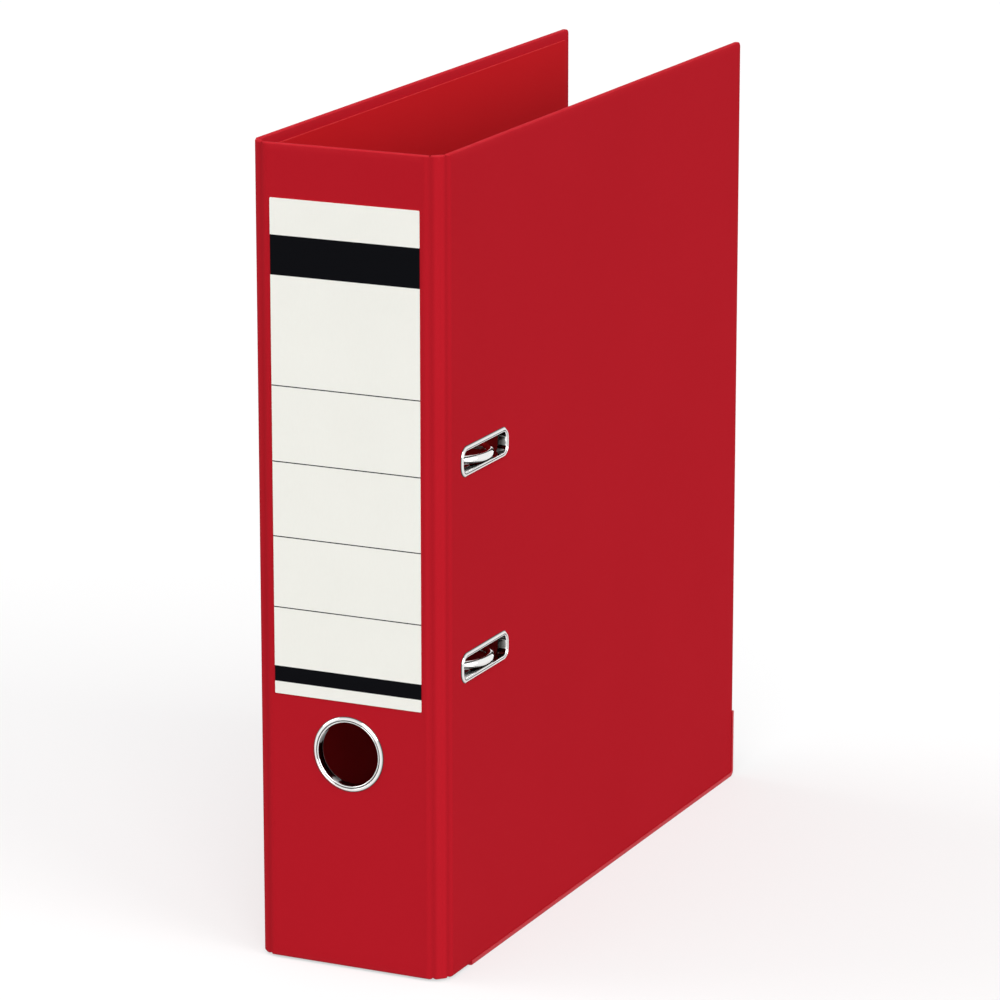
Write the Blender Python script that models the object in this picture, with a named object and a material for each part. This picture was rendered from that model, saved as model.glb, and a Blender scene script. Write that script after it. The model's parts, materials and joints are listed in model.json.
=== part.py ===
"""Lever arch file for A4 paper: a creased board case and a lever arch mechanism, as separate pieces.

The file stands upright and closed. +X points from the rear cover to the front cover, +Y from the spine
to the fore-edge and +Z up, all in metres. Case coordinates start at the middle of the spine's outer face,
at floor level. The root empty moves them, so that the origin is under the middle of the whole file.
In the mechanism, rise is the height over the back of the base plate, along +X.
"""

import math

import bmesh
import bpy
from mathutils import Vector

MM = 0.001

# Case boards: three panels and two hinge strips, creased along their outer faces
FILE_HEIGHT = 318 * MM
FILE_WIDTH = 80 * MM
BOARD_DEPTH = 285 * MM
BOARD = 2.2 * MM
HINGE_INSET = 5 * MM
CREASE_GAP = 0.3 * MM
COVER_CORNER = 2 * MM

# Lining paper inside each panel
LINER = 0.3 * MM
LINER_GAP = 0.1 * MM
LINER_INSET = 4 * MM

# Spine label
LABEL_WIDTH = 61.5 * MM
LABEL_HEIGHT = 191 * MM
LABEL_BOTTOM = 106.5 * MM
LABEL = 0.25 * MM
LABEL_GAP = 0.05 * MM

# Finger ring in the spine
RING_BORE = 25 * MM
RING_FLANGE = 2.25 * MM
RING_PROUD = 0.8 * MM
RING_CENTRE = 86 * MM

# Slot eyelets in the front cover, over the two arches
HOLE_SPACING = 80 * MM
SLOT_LENGTH = 37.9 * MM
SLOT_WIDTH = 8.1 * MM
SLOT_CORNER = 2.75 * MM
SLOT_CENTRE = 35.7 * MM
SLOT_LIFT = 0.4 * MM
EYELET_FLANGE = 1.9 * MM
EYELET_PROUD = 0.8 * MM

# Both kinds of eyelet: barrel wall and the inner collar it is closed over
BARREL = 0.5 * MM
COLLAR = 0.6 * MM
COLLAR_EXTRA = 1 * MM

# Edge rails on the bottom edge and lower fore-edge of both covers
RAIL = 0.8 * MM
RAIL_GAP = 0.1 * MM
RAIL_LIP = 0.35 * MM
RAIL_GRIP = 1 * MM
RAIL_START = 23.5 * MM
RAIL_TOP = 29 * MM

# General clearances
FIT = 0.3 * MM
SEAT = 0.1 * MM

# Base plate, riveted to the rear cover, with its middle a little below that of the boards
MECHANISM_DROP = 1.8 * MM
PLATE = 1.2 * MM
PLATE_START = 11 * MM
PLATE_WIDTH = 52 * MM
PLATE_LENGTH = 120 * MM
PLATE_CORNER = 6 * MM
RIB_WIDTH = 5 * MM
RIB_HEIGHT = 1.1 * MM
RIB_OFFSET = 32 * MM
RIB_START = 26 * MM
RIB_END = 57 * MM

# Plate rivets
RIVET_INSET = 6 * MM
RIVET_SHANK = 4 * MM
RIVET_HEAD = 9 * MM
RIVET_ROLL = 6.6 * MM
RIVET_ROLL_HEIGHT = 0.8 * MM

# Bent wire arches, one bail on one shaft
WIRE = 3.4 * MM
ARCH_FOOT = 20 * MM
SHAFT_RISE = 4.4 * MM
CROWN_DEPTH = 0.95 * MM
CROWN_SPAN = 25 * MM
FOOT_RADIUS = 5 * MM
CRANK_REACH = 13 * MM
CRANK_WIDTH = 18 * MM
CRANK_RADIUS = 2.5 * MM
KNUCKLE_OFFSET = 23 * MM
KNUCKLE_LENGTH = 7 * MM

# Fixed posts
POST_AT = 52 * MM
POST = 4.4 * MM
POST_TOP = 48 * MM
POST_COLLAR = 8.5 * MM
POST_COLLAR_HEIGHT = 1.5 * MM
POST_SPIGOT = 3.2 * MM
SOCKET = 3.8 * MM
CONE_SLOPE = math.radians(30)
TIP_GAP = 0.35 * MM

# Lever, its pin and its roller
PIVOT_AT = 41 * MM
PIVOT_RISE = 13 * MM
LEVER_REACH = 35 * MM
LEVER_WIDTH = 12 * MM
LEVER_SHEET = 1 * MM
LEVER_STRAP = 1.2 * MM
LEVER_EYE = 4.2 * MM
LEVER_CURL = 1.6 * MM
STRAP_START = 17 * MM
THUMB_HOLE = 5 * MM
PIN = 3 * MM
PIN_HEAD = 5 * MM
PIN_HEAD_LENGTH = 0.9 * MM
ROLLER = 6 * MM
ROLLER_PIN = 2.4 * MM
ROLLER_CHEEK = 2.5 * MM
PIN_CLEARANCE = 0.15 * MM
EAR_WIDTH = 9 * MM
EAR_SHEET = 1.2 * MM

# Leaf spring under the crank
LEAF = 0.6 * MM
LEAF_WIDTH = 11 * MM
LEAF_REACH = 15 * MM
LEAF_BEND = 9 * MM
LEAF_RIVET = 2.2 * MM
LEAF_RIVET_HEAD = 4.4 * MM
LEAF_RIVET_HEIGHT = 0.8 * MM

# Compressor bar, sliding on the posts
BAR_RISE = 8.5 * MM
BAR_LENGTH = 104 * MM
BAR_WIDTH = 11 * MM
BAR_SHEET = 1 * MM
BAR_FLANGE = 3 * MM
BUSH = 7.6 * MM
BUSH_FLANGE = 9 * MM
BUSH_FLANGE_HEIGHT = 1 * MM
BUSH_HEIGHT = 6 * MM

# Facets
ROUND = 24
RING_ROUND = 40
CORNER_STEPS = 4

# Places that follow from the sizes above
HALF_WIDTH = FILE_WIDTH / 2
BOARD_BOTTOM = RAIL + RAIL_GAP
BOARD_HEIGHT = FILE_HEIGHT - BOARD_BOTTOM
MIDDLE = BOARD_BOTTOM + BOARD_HEIGHT / 2
CENTRE = MIDDLE - MECHANISM_DROP
ARCH_HEIGHTS = {"upper": CENTRE + HOLE_SPACING / 2, "lower": CENTRE - HOLE_SPACING / 2}
SLOT_HEIGHTS = {name: height + MECHANISM_DROP + SLOT_LIFT for name, height in ARCH_HEIGHTS.items()}
LINED = BOARD + LINER_GAP + LINER
PLATE_BACK = -HALF_WIDTH + LINED + SEAT
CROWN_RISE = HALF_WIDTH - CROWN_DEPTH - PLATE_BACK
CROWN_REAR = POST_AT - CROWN_SPAN
CROWN_RADIUS = CROWN_SPAN / 2 - SEAT
ROLLER_AT = ARCH_FOOT + CRANK_REACH
ROLLER_RISE = SHAFT_RISE + WIRE / 2 + FIT + ROLLER / 2
LEVER_TOP = PIVOT_RISE + LEVER_EYE
LEVER_TIP = PIVOT_AT - LEVER_REACH
LEAF_RIVET_AT = ROLLER_AT + LEAF_REACH - LEAF_RIVET_HEAD / 2 - SEAT
FORE_EDGE = BOARD_DEPTH + RAIL_GAP + RAIL
RIVET_PROUD = EYELET_PROUD
Y_MIDDLE = (FORE_EDGE - RING_PROUD) / 2


# Scene, materials and body frames

def clear_scene():
    for old in list(bpy.data.objects):
        bpy.data.objects.remove(old)


def make_material(name, colour, roughness, metallic):
    made = bpy.data.materials.new(name)
    made.use_nodes = True
    shader = made.node_tree.nodes["Principled BSDF"]
    shader.inputs["Base Color"].default_value = (*colour, 1)
    shader.inputs["Roughness"].default_value = roughness
    shader.inputs["Metallic"].default_value = metallic
    made.diffuse_color = (*colour, 1)
    return made


def make_frame(name, place, parent=None):
    """An empty on a body's joint axis, at a place in case coordinates."""
    frame = bpy.data.objects.new(name, None)
    bpy.context.collection.objects.link(frame)
    frame["place"] = place
    if parent is None:
        frame.location = Vector(place)
        frame["place"] = (0.0, 0.0, 0.0)
    else:
        frame.parent = parent
        frame.location = Vector(place) - Vector(parent["place"])
    return frame


def add_object(name, data, material, frame):
    made = bpy.data.objects.new(name, data)
    bpy.context.collection.objects.link(made)
    made.parent = frame
    if material:
        data.materials.append(material)
    return made


def add_piece(name, mesh, material, frame):
    """A named object from a bmesh in case coordinates, with its origin on its body's axis."""
    bmesh.ops.recalc_face_normals(mesh, faces=mesh.faces)
    bmesh.ops.translate(mesh, verts=mesh.verts, vec=-Vector(frame["place"]))
    data = bpy.data.meshes.new(name)
    mesh.to_mesh(data)
    mesh.free()
    data.shade_smooth()
    data.set_sharp_from_angle(angle=math.radians(35))
    return add_object(name, data, material, frame)


def add_helper(name, mesh, frame):
    helper = add_piece(name, mesh, None, frame)
    helper.hide_render = True
    helper.display_type = "WIRE"
    return helper


def combine(target, helper, operation):
    step = target.modifiers.new(helper.name, "BOOLEAN")
    step.operation = operation
    step.object = helper


def cut(target, mesh):
    """Cuts a bmesh in case coordinates out of a piece."""
    number = len(target.modifiers)
    combine(target, add_helper(f"{target.name}_cut_{number}", mesh, target.parent), "DIFFERENCE")


def fuse(target, mesh):
    number = len(target.modifiers)
    combine(target, add_helper(f"{target.name}_add_{number}", mesh, target.parent), "UNION")


# Ways to turn a flat outline and a depth into case coordinates

def on_floor(x, y, z):
    return Vector((x, y, z))


def on_spine(x, z, depth):
    """Depth runs inwards from the spine's outer face."""
    return Vector((x, depth, z))


def on_front(y, z, depth):
    """Depth runs inwards from the front cover's outer face."""
    return Vector((HALF_WIDTH - depth, y, z))


def on_rear(y, z, depth):
    """Depth runs inwards from the rear cover's outer face."""
    return Vector((depth - HALF_WIDTH, y, z))


def in_section(y, rise, z):
    """A cross-section of the mechanism, with its length along Z."""
    return Vector((PLATE_BACK + rise, y, z))


def over_plate(y, z, rise):
    """A plan of the mechanism, seen from the front cover."""
    return Vector((PLATE_BACK + rise, y, z))


# Outlines and solids

def arc(centre, radius, start, end, steps=CORNER_STEPS):
    """Points of a circular arc, from start to end in degrees."""
    turns = [math.radians(start + (end - start) * i / steps) for i in range(steps + 1)]
    return [(centre[0] + radius * math.cos(t), centre[1] + radius * math.sin(t)) for t in turns]


def circle(centre, radius, steps=ROUND):
    return arc(centre, radius, 0, 360 - 360 / steps, steps - 1)


def rounded(centre, length, width, radius):
    """A rectangle with rounded corners, length along the first axis."""
    a = length / 2 - radius
    b = width / 2 - radius
    corners = ((a, b, 0), (-a, b, 90), (-a, -b, 180), (a, -b, 270))
    points = []
    for x, y, start in corners:
        points += arc((centre[0] + x, centre[1] + y), radius, start, start + 90)
    return points


def add_loop(mesh, outline, place, depth):
    return [mesh.verts.new(place(a, b, depth)) for a, b in outline]


def bridge(mesh, first, second):
    for i in range(len(first)):
        j = (i + 1) % len(first)
        mesh.faces.new((first[i], first[j], second[j], second[i]))


def prism(outline, place, low, high, mesh=None):
    """A flat outline pushed from one depth to another."""
    mesh = mesh or bmesh.new()
    ends = [add_loop(mesh, outline, place, depth) for depth in (low, high)]
    bridge(mesh, *ends)
    for end in ends:
        mesh.faces.new(end)
    return mesh


def turned(profile, centre, place, steps=ROUND, mesh=None):
    """A solid of revolution with flat ends, from (radius, depth) points along its outside."""
    mesh = mesh or bmesh.new()
    loops = [add_loop(mesh, circle(centre, r, steps), place, depth) for r, depth in profile]
    for first, second in zip(loops, loops[1:]):
        bridge(mesh, first, second)
    mesh.faces.new(loops[0])
    mesh.faces.new(loops[-1])
    return mesh


def rim(outline_at, profile, place):
    """A closed ring from a profile of (offset, depth) points carried round an outline."""
    mesh = bmesh.new()
    loops = [add_loop(mesh, outline_at(offset), place, depth) for offset, depth in profile]
    for first, second in zip(loops, loops[1:] + loops[:1]):
        bridge(mesh, first, second)
    return mesh


def rounded_path(corners, steps=8):
    """A path through corner points, each given with the radius of its bend."""
    path = [Vector(corners[0][0])]
    for (before, _), (corner, radius), (after, _) in zip(corners, corners[1:], corners[2:]):
        corner = Vector(corner)
        back = (Vector(before) - corner).normalized()
        ahead = (Vector(after) - corner).normalized()
        half = back.angle(ahead) / 2
        centre = corner + (back + ahead).normalized() * radius / math.sin(half)
        start = corner + back * radius / math.tan(half) - centre
        end = corner + ahead * radius / math.tan(half) - centre
        for i in range(steps + 1):
            path.append(centre + start.slerp(end, i / steps) * radius)
    path.append(Vector(corners[-1][0]))
    return path


def add_wire(name, path, radii, radius, material, frame):
    """A round wire along a path, with a share of its radius at each point."""
    data = bpy.data.curves.new(name, "CURVE")
    data.dimensions = "3D"
    data.bevel_depth = radius
    data.bevel_resolution = 2
    data.use_fill_caps = True
    spline = data.splines.new("POLY")
    spline.points.add(len(path) - 1)
    for point, place, share in zip(spline.points, path, radii):
        point.co = (*(place - Vector(frame["place"])), 1)
        point.radius = share
    return add_object(name, data, material, frame)


# Case

def case_corners():
    """The case's outer section, from the rear cover's fore-edge round the spine to the front cover's."""
    flat = HALF_WIDTH - HINGE_INSET
    return [
        Vector((-HALF_WIDTH, BOARD_DEPTH)),
        Vector((-HALF_WIDTH, HINGE_INSET)),
        Vector((-flat, 0)),
        Vector((flat, 0)),
        Vector((HALF_WIDTH, HINGE_INSET)),
        Vector((HALF_WIDTH, BOARD_DEPTH)),
    ]


def panel_section(index):
    """One panel's section: mitred half a gap away from each crease, square at the fore-edge."""
    corners = case_corners()
    runs = [(b - a).normalized() for a, b in zip(corners, corners[1:])]
    inward = [Vector((-run.y, run.x)) for run in runs]
    run = runs[index]
    section = []
    for corner, side in ((index, -1), (index + 1, 1)):
        neighbour = index + side
        free = neighbour < 0 or neighbour >= len(runs)
        other = inward[index] if free else inward[neighbour]
        mitre = (inward[index] + other) / (1 + inward[index].dot(other))
        back_off = Vector((0, 0)) if free else run * -side * CREASE_GAP / 2
        outer = corners[corner] + back_off
        pair = [outer, outer + mitre * BOARD]
        section += pair[::-1] if side < 0 else pair
    return [(p.x, p.y) for p in section]


def panel(index):
    return prism(panel_section(index), on_floor, BOARD_BOTTOM, FILE_HEIGHT)


def cover_panel(index):
    """A cover board, with rounded corners at its fore-edge."""
    mesh = panel(index)
    bmesh.ops.recalc_face_normals(mesh, faces=mesh.faces)
    edges = []
    for edge in mesh.edges:
        a, b = (v.co for v in edge.verts)
        if min(a.y, b.y) > BOARD_DEPTH - SEAT and abs(a.z - b.z) < SEAT:
            edges.append(edge)
    bmesh.ops.bevel(mesh, geom=edges, offset=COVER_CORNER, segments=CORNER_STEPS, affect="EDGES", profile=0.5)
    return mesh


def cover_liner(place):
    length = BOARD_DEPTH - HINGE_INSET - 2 * LINER_INSET
    height = BOARD_HEIGHT - 2 * LINER_INSET
    outline = rounded((HINGE_INSET + LINER_INSET + length / 2, MIDDLE), length, height, COVER_CORNER)
    return prism(outline, place, BOARD + LINER_GAP, LINED)


def edge_rail(name, place, material, frame):
    """A thin channel closed over the bottom edge and the lower fore-edge of a cover."""
    outside = COVER_CORNER + RAIL_GAP + RAIL
    inner_y = BOARD_DEPTH - RAIL_GRIP
    inner_z = BOARD_BOTTOM + RAIL_GRIP
    outline = [(RAIL_START, 0)]
    outline += arc((FORE_EDGE - outside, outside), outside, 270, 360)
    outline += [(FORE_EDGE, RAIL_TOP), (inner_y, RAIL_TOP), (inner_y, inner_z), (RAIL_START, inner_z)]
    proud = RAIL_GAP + RAIL_LIP
    rail = add_piece(name, prism(outline, place, -proud, BOARD + proud), material, frame)
    past = RAIL_GRIP
    gap_corner = COVER_CORNER + RAIL_GAP
    groove = [(RAIL_START - past, BOARD_BOTTOM - RAIL_GAP)]
    groove += arc((BOARD_DEPTH - COVER_CORNER, BOARD_BOTTOM + COVER_CORNER), gap_corner, 270, 360)
    groove += [(BOARD_DEPTH + RAIL_GAP, RAIL_TOP + past), (RAIL_START - past, RAIL_TOP + past)]
    cut(rail, prism(groove, place, -RAIL_GAP, BOARD + RAIL_GAP))


def eyelet_profile(flange, proud):
    """Rolled flange outside the board, and a barrel through the board, lining and collar."""
    end = LINED + SEAT + COLLAR
    return [
        (0, end),
        (0, -0.4 * proud),
        (0.2 * flange, -0.85 * proud),
        (0.5 * flange, -proud),
        (0.8 * flange, -0.8 * proud),
        (flange, -0.35 * proud),
        (flange, -SEAT),
        (BARREL, -SEAT),
        (BARREL, end),
    ]


def collar_profile(flange):
    start = LINED + SEAT
    wide = flange + COLLAR_EXTRA
    return [
        (BARREL + SEAT, start),
        (BARREL + SEAT, start + COLLAR),
        (wide - COLLAR / 2, start + COLLAR),
        (wide, start + COLLAR / 2),
        (wide, start),
    ]


def ring_outline(offset):
    return circle((0, RING_CENTRE), RING_BORE / 2 + offset, RING_ROUND)


def slot_outline(height):
    def outline(offset):
        length = SLOT_LENGTH + 2 * offset
        width = SLOT_WIDTH + 2 * offset
        return rounded((SLOT_CENTRE, height), length, width, SLOT_CORNER + offset)
    return outline


def past_board(outline, place):
    """A cutter for a hole through a board and its lining."""
    return prism(outline, place, -BOARD, LINED + BOARD)


def make_rear_cover(frame, red, lining, lacquer):
    board = add_piece("rear_cover_board", cover_panel(0), red, frame)
    liner = add_piece("rear_cover_liner", cover_liner(on_rear), lining, frame)
    edge_rail("rear_edge_rail", on_rear, lacquer, frame)
    for target in (board, liner):
        holes = bmesh.new()
        for y, z in rivet_places():
            prism(circle((y, z), RIVET_SHANK / 2 + FIT), on_rear, -BOARD, LINED + BOARD, holes)
        cut(target, holes)


def make_spine(frame, red, lining, paper, chrome):
    board = add_piece("spine_board", panel(2), red, frame)
    inside = FILE_WIDTH - 2 * HINGE_INSET - 2 * LINER_INSET
    outline = rounded((0, MIDDLE), inside, BOARD_HEIGHT - 2 * LINER_INSET, COVER_CORNER)
    liner = add_piece("spine_liner", prism(outline, on_spine, BOARD + LINER_GAP, LINED), lining, frame)
    for target in (board, liner):
        cut(target, past_board(ring_outline(BARREL + FIT), on_spine))
    label_place = (0, LABEL_BOTTOM + LABEL_HEIGHT / 2)
    outline = rounded(label_place, LABEL_WIDTH, LABEL_HEIGHT, LABEL)
    add_piece("spine_label", prism(outline, on_spine, -LABEL_GAP - LABEL, -LABEL_GAP), paper, frame)
    profile = eyelet_profile(RING_FLANGE, RING_PROUD)
    add_piece("finger_ring", rim(ring_outline, profile, on_spine), chrome, frame)
    add_piece("finger_ring_collar", rim(ring_outline, collar_profile(RING_FLANGE), on_spine), chrome, frame)


def make_front_cover(frame, red, lining, lacquer, chrome):
    board = add_piece("front_cover_board", cover_panel(4), red, frame)
    liner = add_piece("front_cover_liner", cover_liner(on_front), lining, frame)
    edge_rail("front_edge_rail", on_front, lacquer, frame)
    for name, height in SLOT_HEIGHTS.items():
        outline = slot_outline(height)
        for target in (board, liner):
            cut(target, past_board(outline(BARREL + FIT), on_front))
        eyelet = rim(outline, eyelet_profile(EYELET_FLANGE, EYELET_PROUD), on_front)
        add_piece(f"{name}_slot_eyelet", eyelet, chrome, frame)
        collar = rim(outline, collar_profile(EYELET_FLANGE), on_front)
        add_piece(f"{name}_slot_collar", collar, chrome, frame)


# Mechanism

def rivet_places():
    near = PLATE_START + RIVET_INSET
    far = PLATE_START + PLATE_WIDTH - RIVET_INSET
    reach = PLATE_LENGTH / 2 - RIVET_INSET
    return [(y, CENTRE + side * reach) for side in (-1, 1) for y in (near, far)]


def knuckle(middle):
    """A strap pressed up out of the plate, over the arches' shaft."""
    bore = WIRE / 2 + FIT
    outside = bore + PLATE
    low = PLATE / 2
    outline = [(ARCH_FOOT + outside, low)]
    outline += arc((ARCH_FOOT, SHAFT_RISE), outside, 0, 180, 10)
    outline += [(ARCH_FOOT - outside, low), (ARCH_FOOT - bore, low)]
    outline += arc((ARCH_FOOT, SHAFT_RISE), bore, 180, 0, 10)
    outline += [(ARCH_FOOT + bore, low)]
    return prism(outline, in_section, middle - KNUCKLE_LENGTH / 2, middle + KNUCKLE_LENGTH / 2)


def ear(inner, outer):
    """An upright ear for the lever's pin."""
    half = EAR_WIDTH / 2
    outline = [(PIVOT_AT + half, PLATE / 2)]
    outline += arc((PIVOT_AT, PIVOT_RISE), half, 0, 180, 10)
    outline += [(PIVOT_AT - half, PLATE / 2)]
    return prism(outline, in_section, inner, outer)


def make_base_plate(frame, steel):
    centre = (PLATE_START + PLATE_WIDTH / 2, CENTRE)
    outline = rounded(centre, PLATE_WIDTH, PLATE_LENGTH, PLATE_CORNER)
    plate = add_piece("base_plate", prism(outline, over_plate, 0, PLATE), steel, frame)
    ear_start = LEVER_WIDTH / 2 + FIT
    for side in (-1, 1):
        fuse(plate, knuckle(CENTRE + side * KNUCKLE_OFFSET))
        ends = sorted((CENTRE + side * ear_start, CENTRE + side * (ear_start + EAR_SHEET)))
        fuse(plate, ear(*ends))
        rib_place = ((RIB_START + RIB_END) / 2, CENTRE + side * RIB_OFFSET)
        rib = bmesh.new()
        loops = []
        for inset, rise in ((0, PLATE / 2), (0, PLATE), (RIB_HEIGHT, PLATE + RIB_HEIGHT)):
            length = RIB_END - RIB_START - 2 * inset
            width = RIB_WIDTH - 2 * inset
            shape = rounded(rib_place, length, width, width / 2.1)
            loops.append(add_loop(rib, shape, over_plate, rise))
        for first, second in zip(loops, loops[1:]):
            bridge(rib, first, second)
        rib.faces.new(loops[0])
        rib.faces.new(loops[-1])
        fuse(plate, rib)
    holes = bmesh.new()
    round_holes = [(place, RIVET_SHANK) for place in rivet_places()]
    round_holes += [((POST_AT, height), POST_SPIGOT) for height in ARCH_HEIGHTS.values()]
    round_holes += [((LEAF_RIVET_AT, CENTRE), LEAF_RIVET)]
    for place, size in round_holes:
        prism(circle(place, size / 2 + FIT), over_plate, -PLATE, 2 * PLATE, holes)
    cut(plate, holes)
    across = ear_start + 2 * EAR_SHEET
    pin_hole = circle((PIVOT_AT, PIVOT_RISE), PIN / 2 + PIN_CLEARANCE)
    cut(plate, prism(pin_hole, in_section, CENTRE - across, CENTRE + across))


def make_rivets(frame, steel):
    """Tubular rivets: a domed head outside the rear cover, rolled over inside the plate."""
    depth = LINED + SEAT + PLATE + SEAT
    head = RIVET_HEAD / 2
    profile = [
        (0.45 * head, -RIVET_PROUD),
        (0.8 * head, -0.75 * RIVET_PROUD),
        (head, -0.3 * RIVET_PROUD),
        (head, -SEAT),
        (RIVET_SHANK / 2, -SEAT),
        (RIVET_SHANK / 2, depth),
        (RIVET_ROLL / 2, depth),
        (RIVET_ROLL / 2, depth + RIVET_ROLL_HEIGHT / 2),
        (RIVET_SHANK / 2, depth + RIVET_ROLL_HEIGHT),
    ]
    for number, place in enumerate(rivet_places(), 1):
        add_piece(f"plate_rivet_{number}", turned(profile, place, on_rear, 16), steel, frame)


def make_posts(frame, chrome):
    """Fixed posts: a spigot in the plate, a collar on it and a coned socket for the arch's tip."""
    seat = PLATE + SEAT
    cone = SOCKET / 2 * math.tan(CONE_SLOPE)
    point = SOCKET / 20
    profile = [
        (POST_SPIGOT / 2, SEAT),
        (POST_SPIGOT / 2, seat),
        (POST_COLLAR / 2, seat),
        (POST_COLLAR / 2, seat + POST_COLLAR_HEIGHT / 2),
        (POST / 2, seat + POST_COLLAR_HEIGHT),
        (POST / 2, POST_TOP),
        (SOCKET / 2, POST_TOP),
        (point, POST_TOP - cone + point * math.tan(CONE_SLOPE)),
    ]
    for name, height in ARCH_HEIGHTS.items():
        add_piece(f"{name}_post", turned(profile, (POST_AT, height), over_plate), chrome, frame)


def make_arches(frame, chrome):
    """One bent wire: two arches, the shaft that they turn on and the crank that the roller presses."""
    tip = POST_TOP - SOCKET / 2 * math.tan(CONE_SLOPE) + TIP_GAP
    cone = WIRE / 2 * math.tan(CONE_SLOPE)
    half_crank = CRANK_WIDTH / 2
    crank = ARCH_FOOT + CRANK_REACH
    half = []
    for side in (1, -1):
        height = CENTRE + side * HOLE_SPACING / 2
        half.append([
            (in_section(POST_AT, tip + cone, height), 0),
            (in_section(POST_AT, CROWN_RISE, height), CROWN_RADIUS),
            (in_section(CROWN_REAR, CROWN_RISE, height), CROWN_RADIUS),
            (in_section(ARCH_FOOT, SHAFT_RISE, height), FOOT_RADIUS),
            (in_section(ARCH_FOOT, SHAFT_RISE, CENTRE + side * half_crank), CRANK_RADIUS),
            (in_section(crank, SHAFT_RISE, CENTRE + side * half_crank), CRANK_RADIUS),
        ])
    path = rounded_path(half[0] + half[1][::-1])
    ends = [in_section(POST_AT, tip, CENTRE + side * HOLE_SPACING / 2) for side in (1, -1)]
    path = [ends[0], *path, ends[1]]
    blunt = 0.1
    radii = [blunt] + [1] * (len(path) - 2) + [blunt]
    add_wire("arch_bail", path, radii, WIRE / 2, chrome, frame)


def lever_section():
    """The lever's side: an eye on the pin, cheeks down to the roller and a strap out to the thumb end."""
    eye = (PIVOT_AT, PIVOT_RISE)
    roller = (ROLLER_AT, ROLLER_RISE)
    strap = PIVOT_AT - STRAP_START
    under = LEVER_TOP - LEVER_STRAP
    curl_start = LEVER_TIP + 4 * LEVER_STRAP
    outline = arc(eye, LEVER_EYE, -60, 90, 8)
    outline += [(curl_start, LEVER_TOP), (LEVER_TIP + LEVER_STRAP, LEVER_TOP + LEVER_CURL)]
    outline += [(LEVER_TIP, LEVER_TOP + LEVER_CURL - LEVER_STRAP), (curl_start, under)]
    outline += [(strap, under)]
    outline += arc(roller, ROLLER_CHEEK, 160, 290, 6)
    return outline


def make_lever(frame, steel, chrome):
    half = LEVER_WIDTH / 2
    body = prism(lever_section(), in_section, CENTRE - half, CENTRE + half)
    lever = add_piece("lever", body, steel, frame)
    inside = half - LEVER_SHEET
    far = PIVOT_AT + 2 * LEVER_EYE
    near = PIVOT_AT - STRAP_START - LEVER_STRAP
    channel = [(near, 0), (far, 0), (far, LEVER_TOP - LEVER_STRAP), (near, LEVER_TOP - LEVER_STRAP)]
    cut(lever, prism(channel, in_section, CENTRE - inside, CENTRE + inside))
    bores = bmesh.new()
    for place, size in (((PIVOT_AT, PIVOT_RISE), PIN), ((ROLLER_AT, ROLLER_RISE), ROLLER_PIN)):
        hole = circle(place, size / 2 + PIN_CLEARANCE)
        prism(hole, in_section, CENTRE - LEVER_WIDTH, CENTRE + LEVER_WIDTH, bores)
    cut(lever, bores)
    plan = rounded(((LEVER_TIP + 2 * far) / 2, CENTRE), 2 * far - LEVER_TIP, LEVER_WIDTH + 2 * FIT, half)
    trim = add_helper("lever_plan", prism(plan, over_plate, 0, LEVER_TOP + LEVER_WIDTH), frame)
    combine(lever, trim, "INTERSECT")
    thumb = (LEVER_TIP + 6 * LEVER_STRAP + THUMB_HOLE / 2, CENTRE)
    cut(lever, prism(circle(thumb, THUMB_HOLE / 2), over_plate, PIVOT_RISE, LEVER_TOP + LEVER_STRAP))
    headed_pin("roller_pin", (ROLLER_AT, ROLLER_RISE), ROLLER_PIN, ROLLER_PIN, half, chrome, frame)


def headed_pin(name, place, size, head, reach, material, frame):
    """A pin along Z, with a head past its reach at both ends where the head is wider than the pin."""
    profile = [(size / 2, CENTRE - reach), (size / 2, CENTRE + reach)]
    if head > size:
        inner = reach + SEAT
        outer = inner + PIN_HEAD_LENGTH
        profile = [
            (head / 2, CENTRE - outer),
            (head / 2, CENTRE - inner),
            (size / 2, CENTRE - inner),
            (size / 2, CENTRE + inner),
            (head / 2, CENTRE + inner),
            (head / 2, CENTRE + outer),
        ]
    add_piece(name, turned(profile, place, in_section), material, frame)


def make_roller(frame, plastic):
    half = LEVER_WIDTH / 2 - LEVER_SHEET - FIT
    bore = ROLLER_PIN / 2 + PIN_CLEARANCE

    def outline(offset):
        return circle((ROLLER_AT, ROLLER_RISE), bore + offset)

    wall = ROLLER / 2 - bore
    profile = [(0, CENTRE - half), (0, CENTRE + half), (wall, CENTRE + half), (wall, CENTRE - half)]
    add_piece("lever_roller", rim(outline, profile, in_section), plastic, frame)


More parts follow.
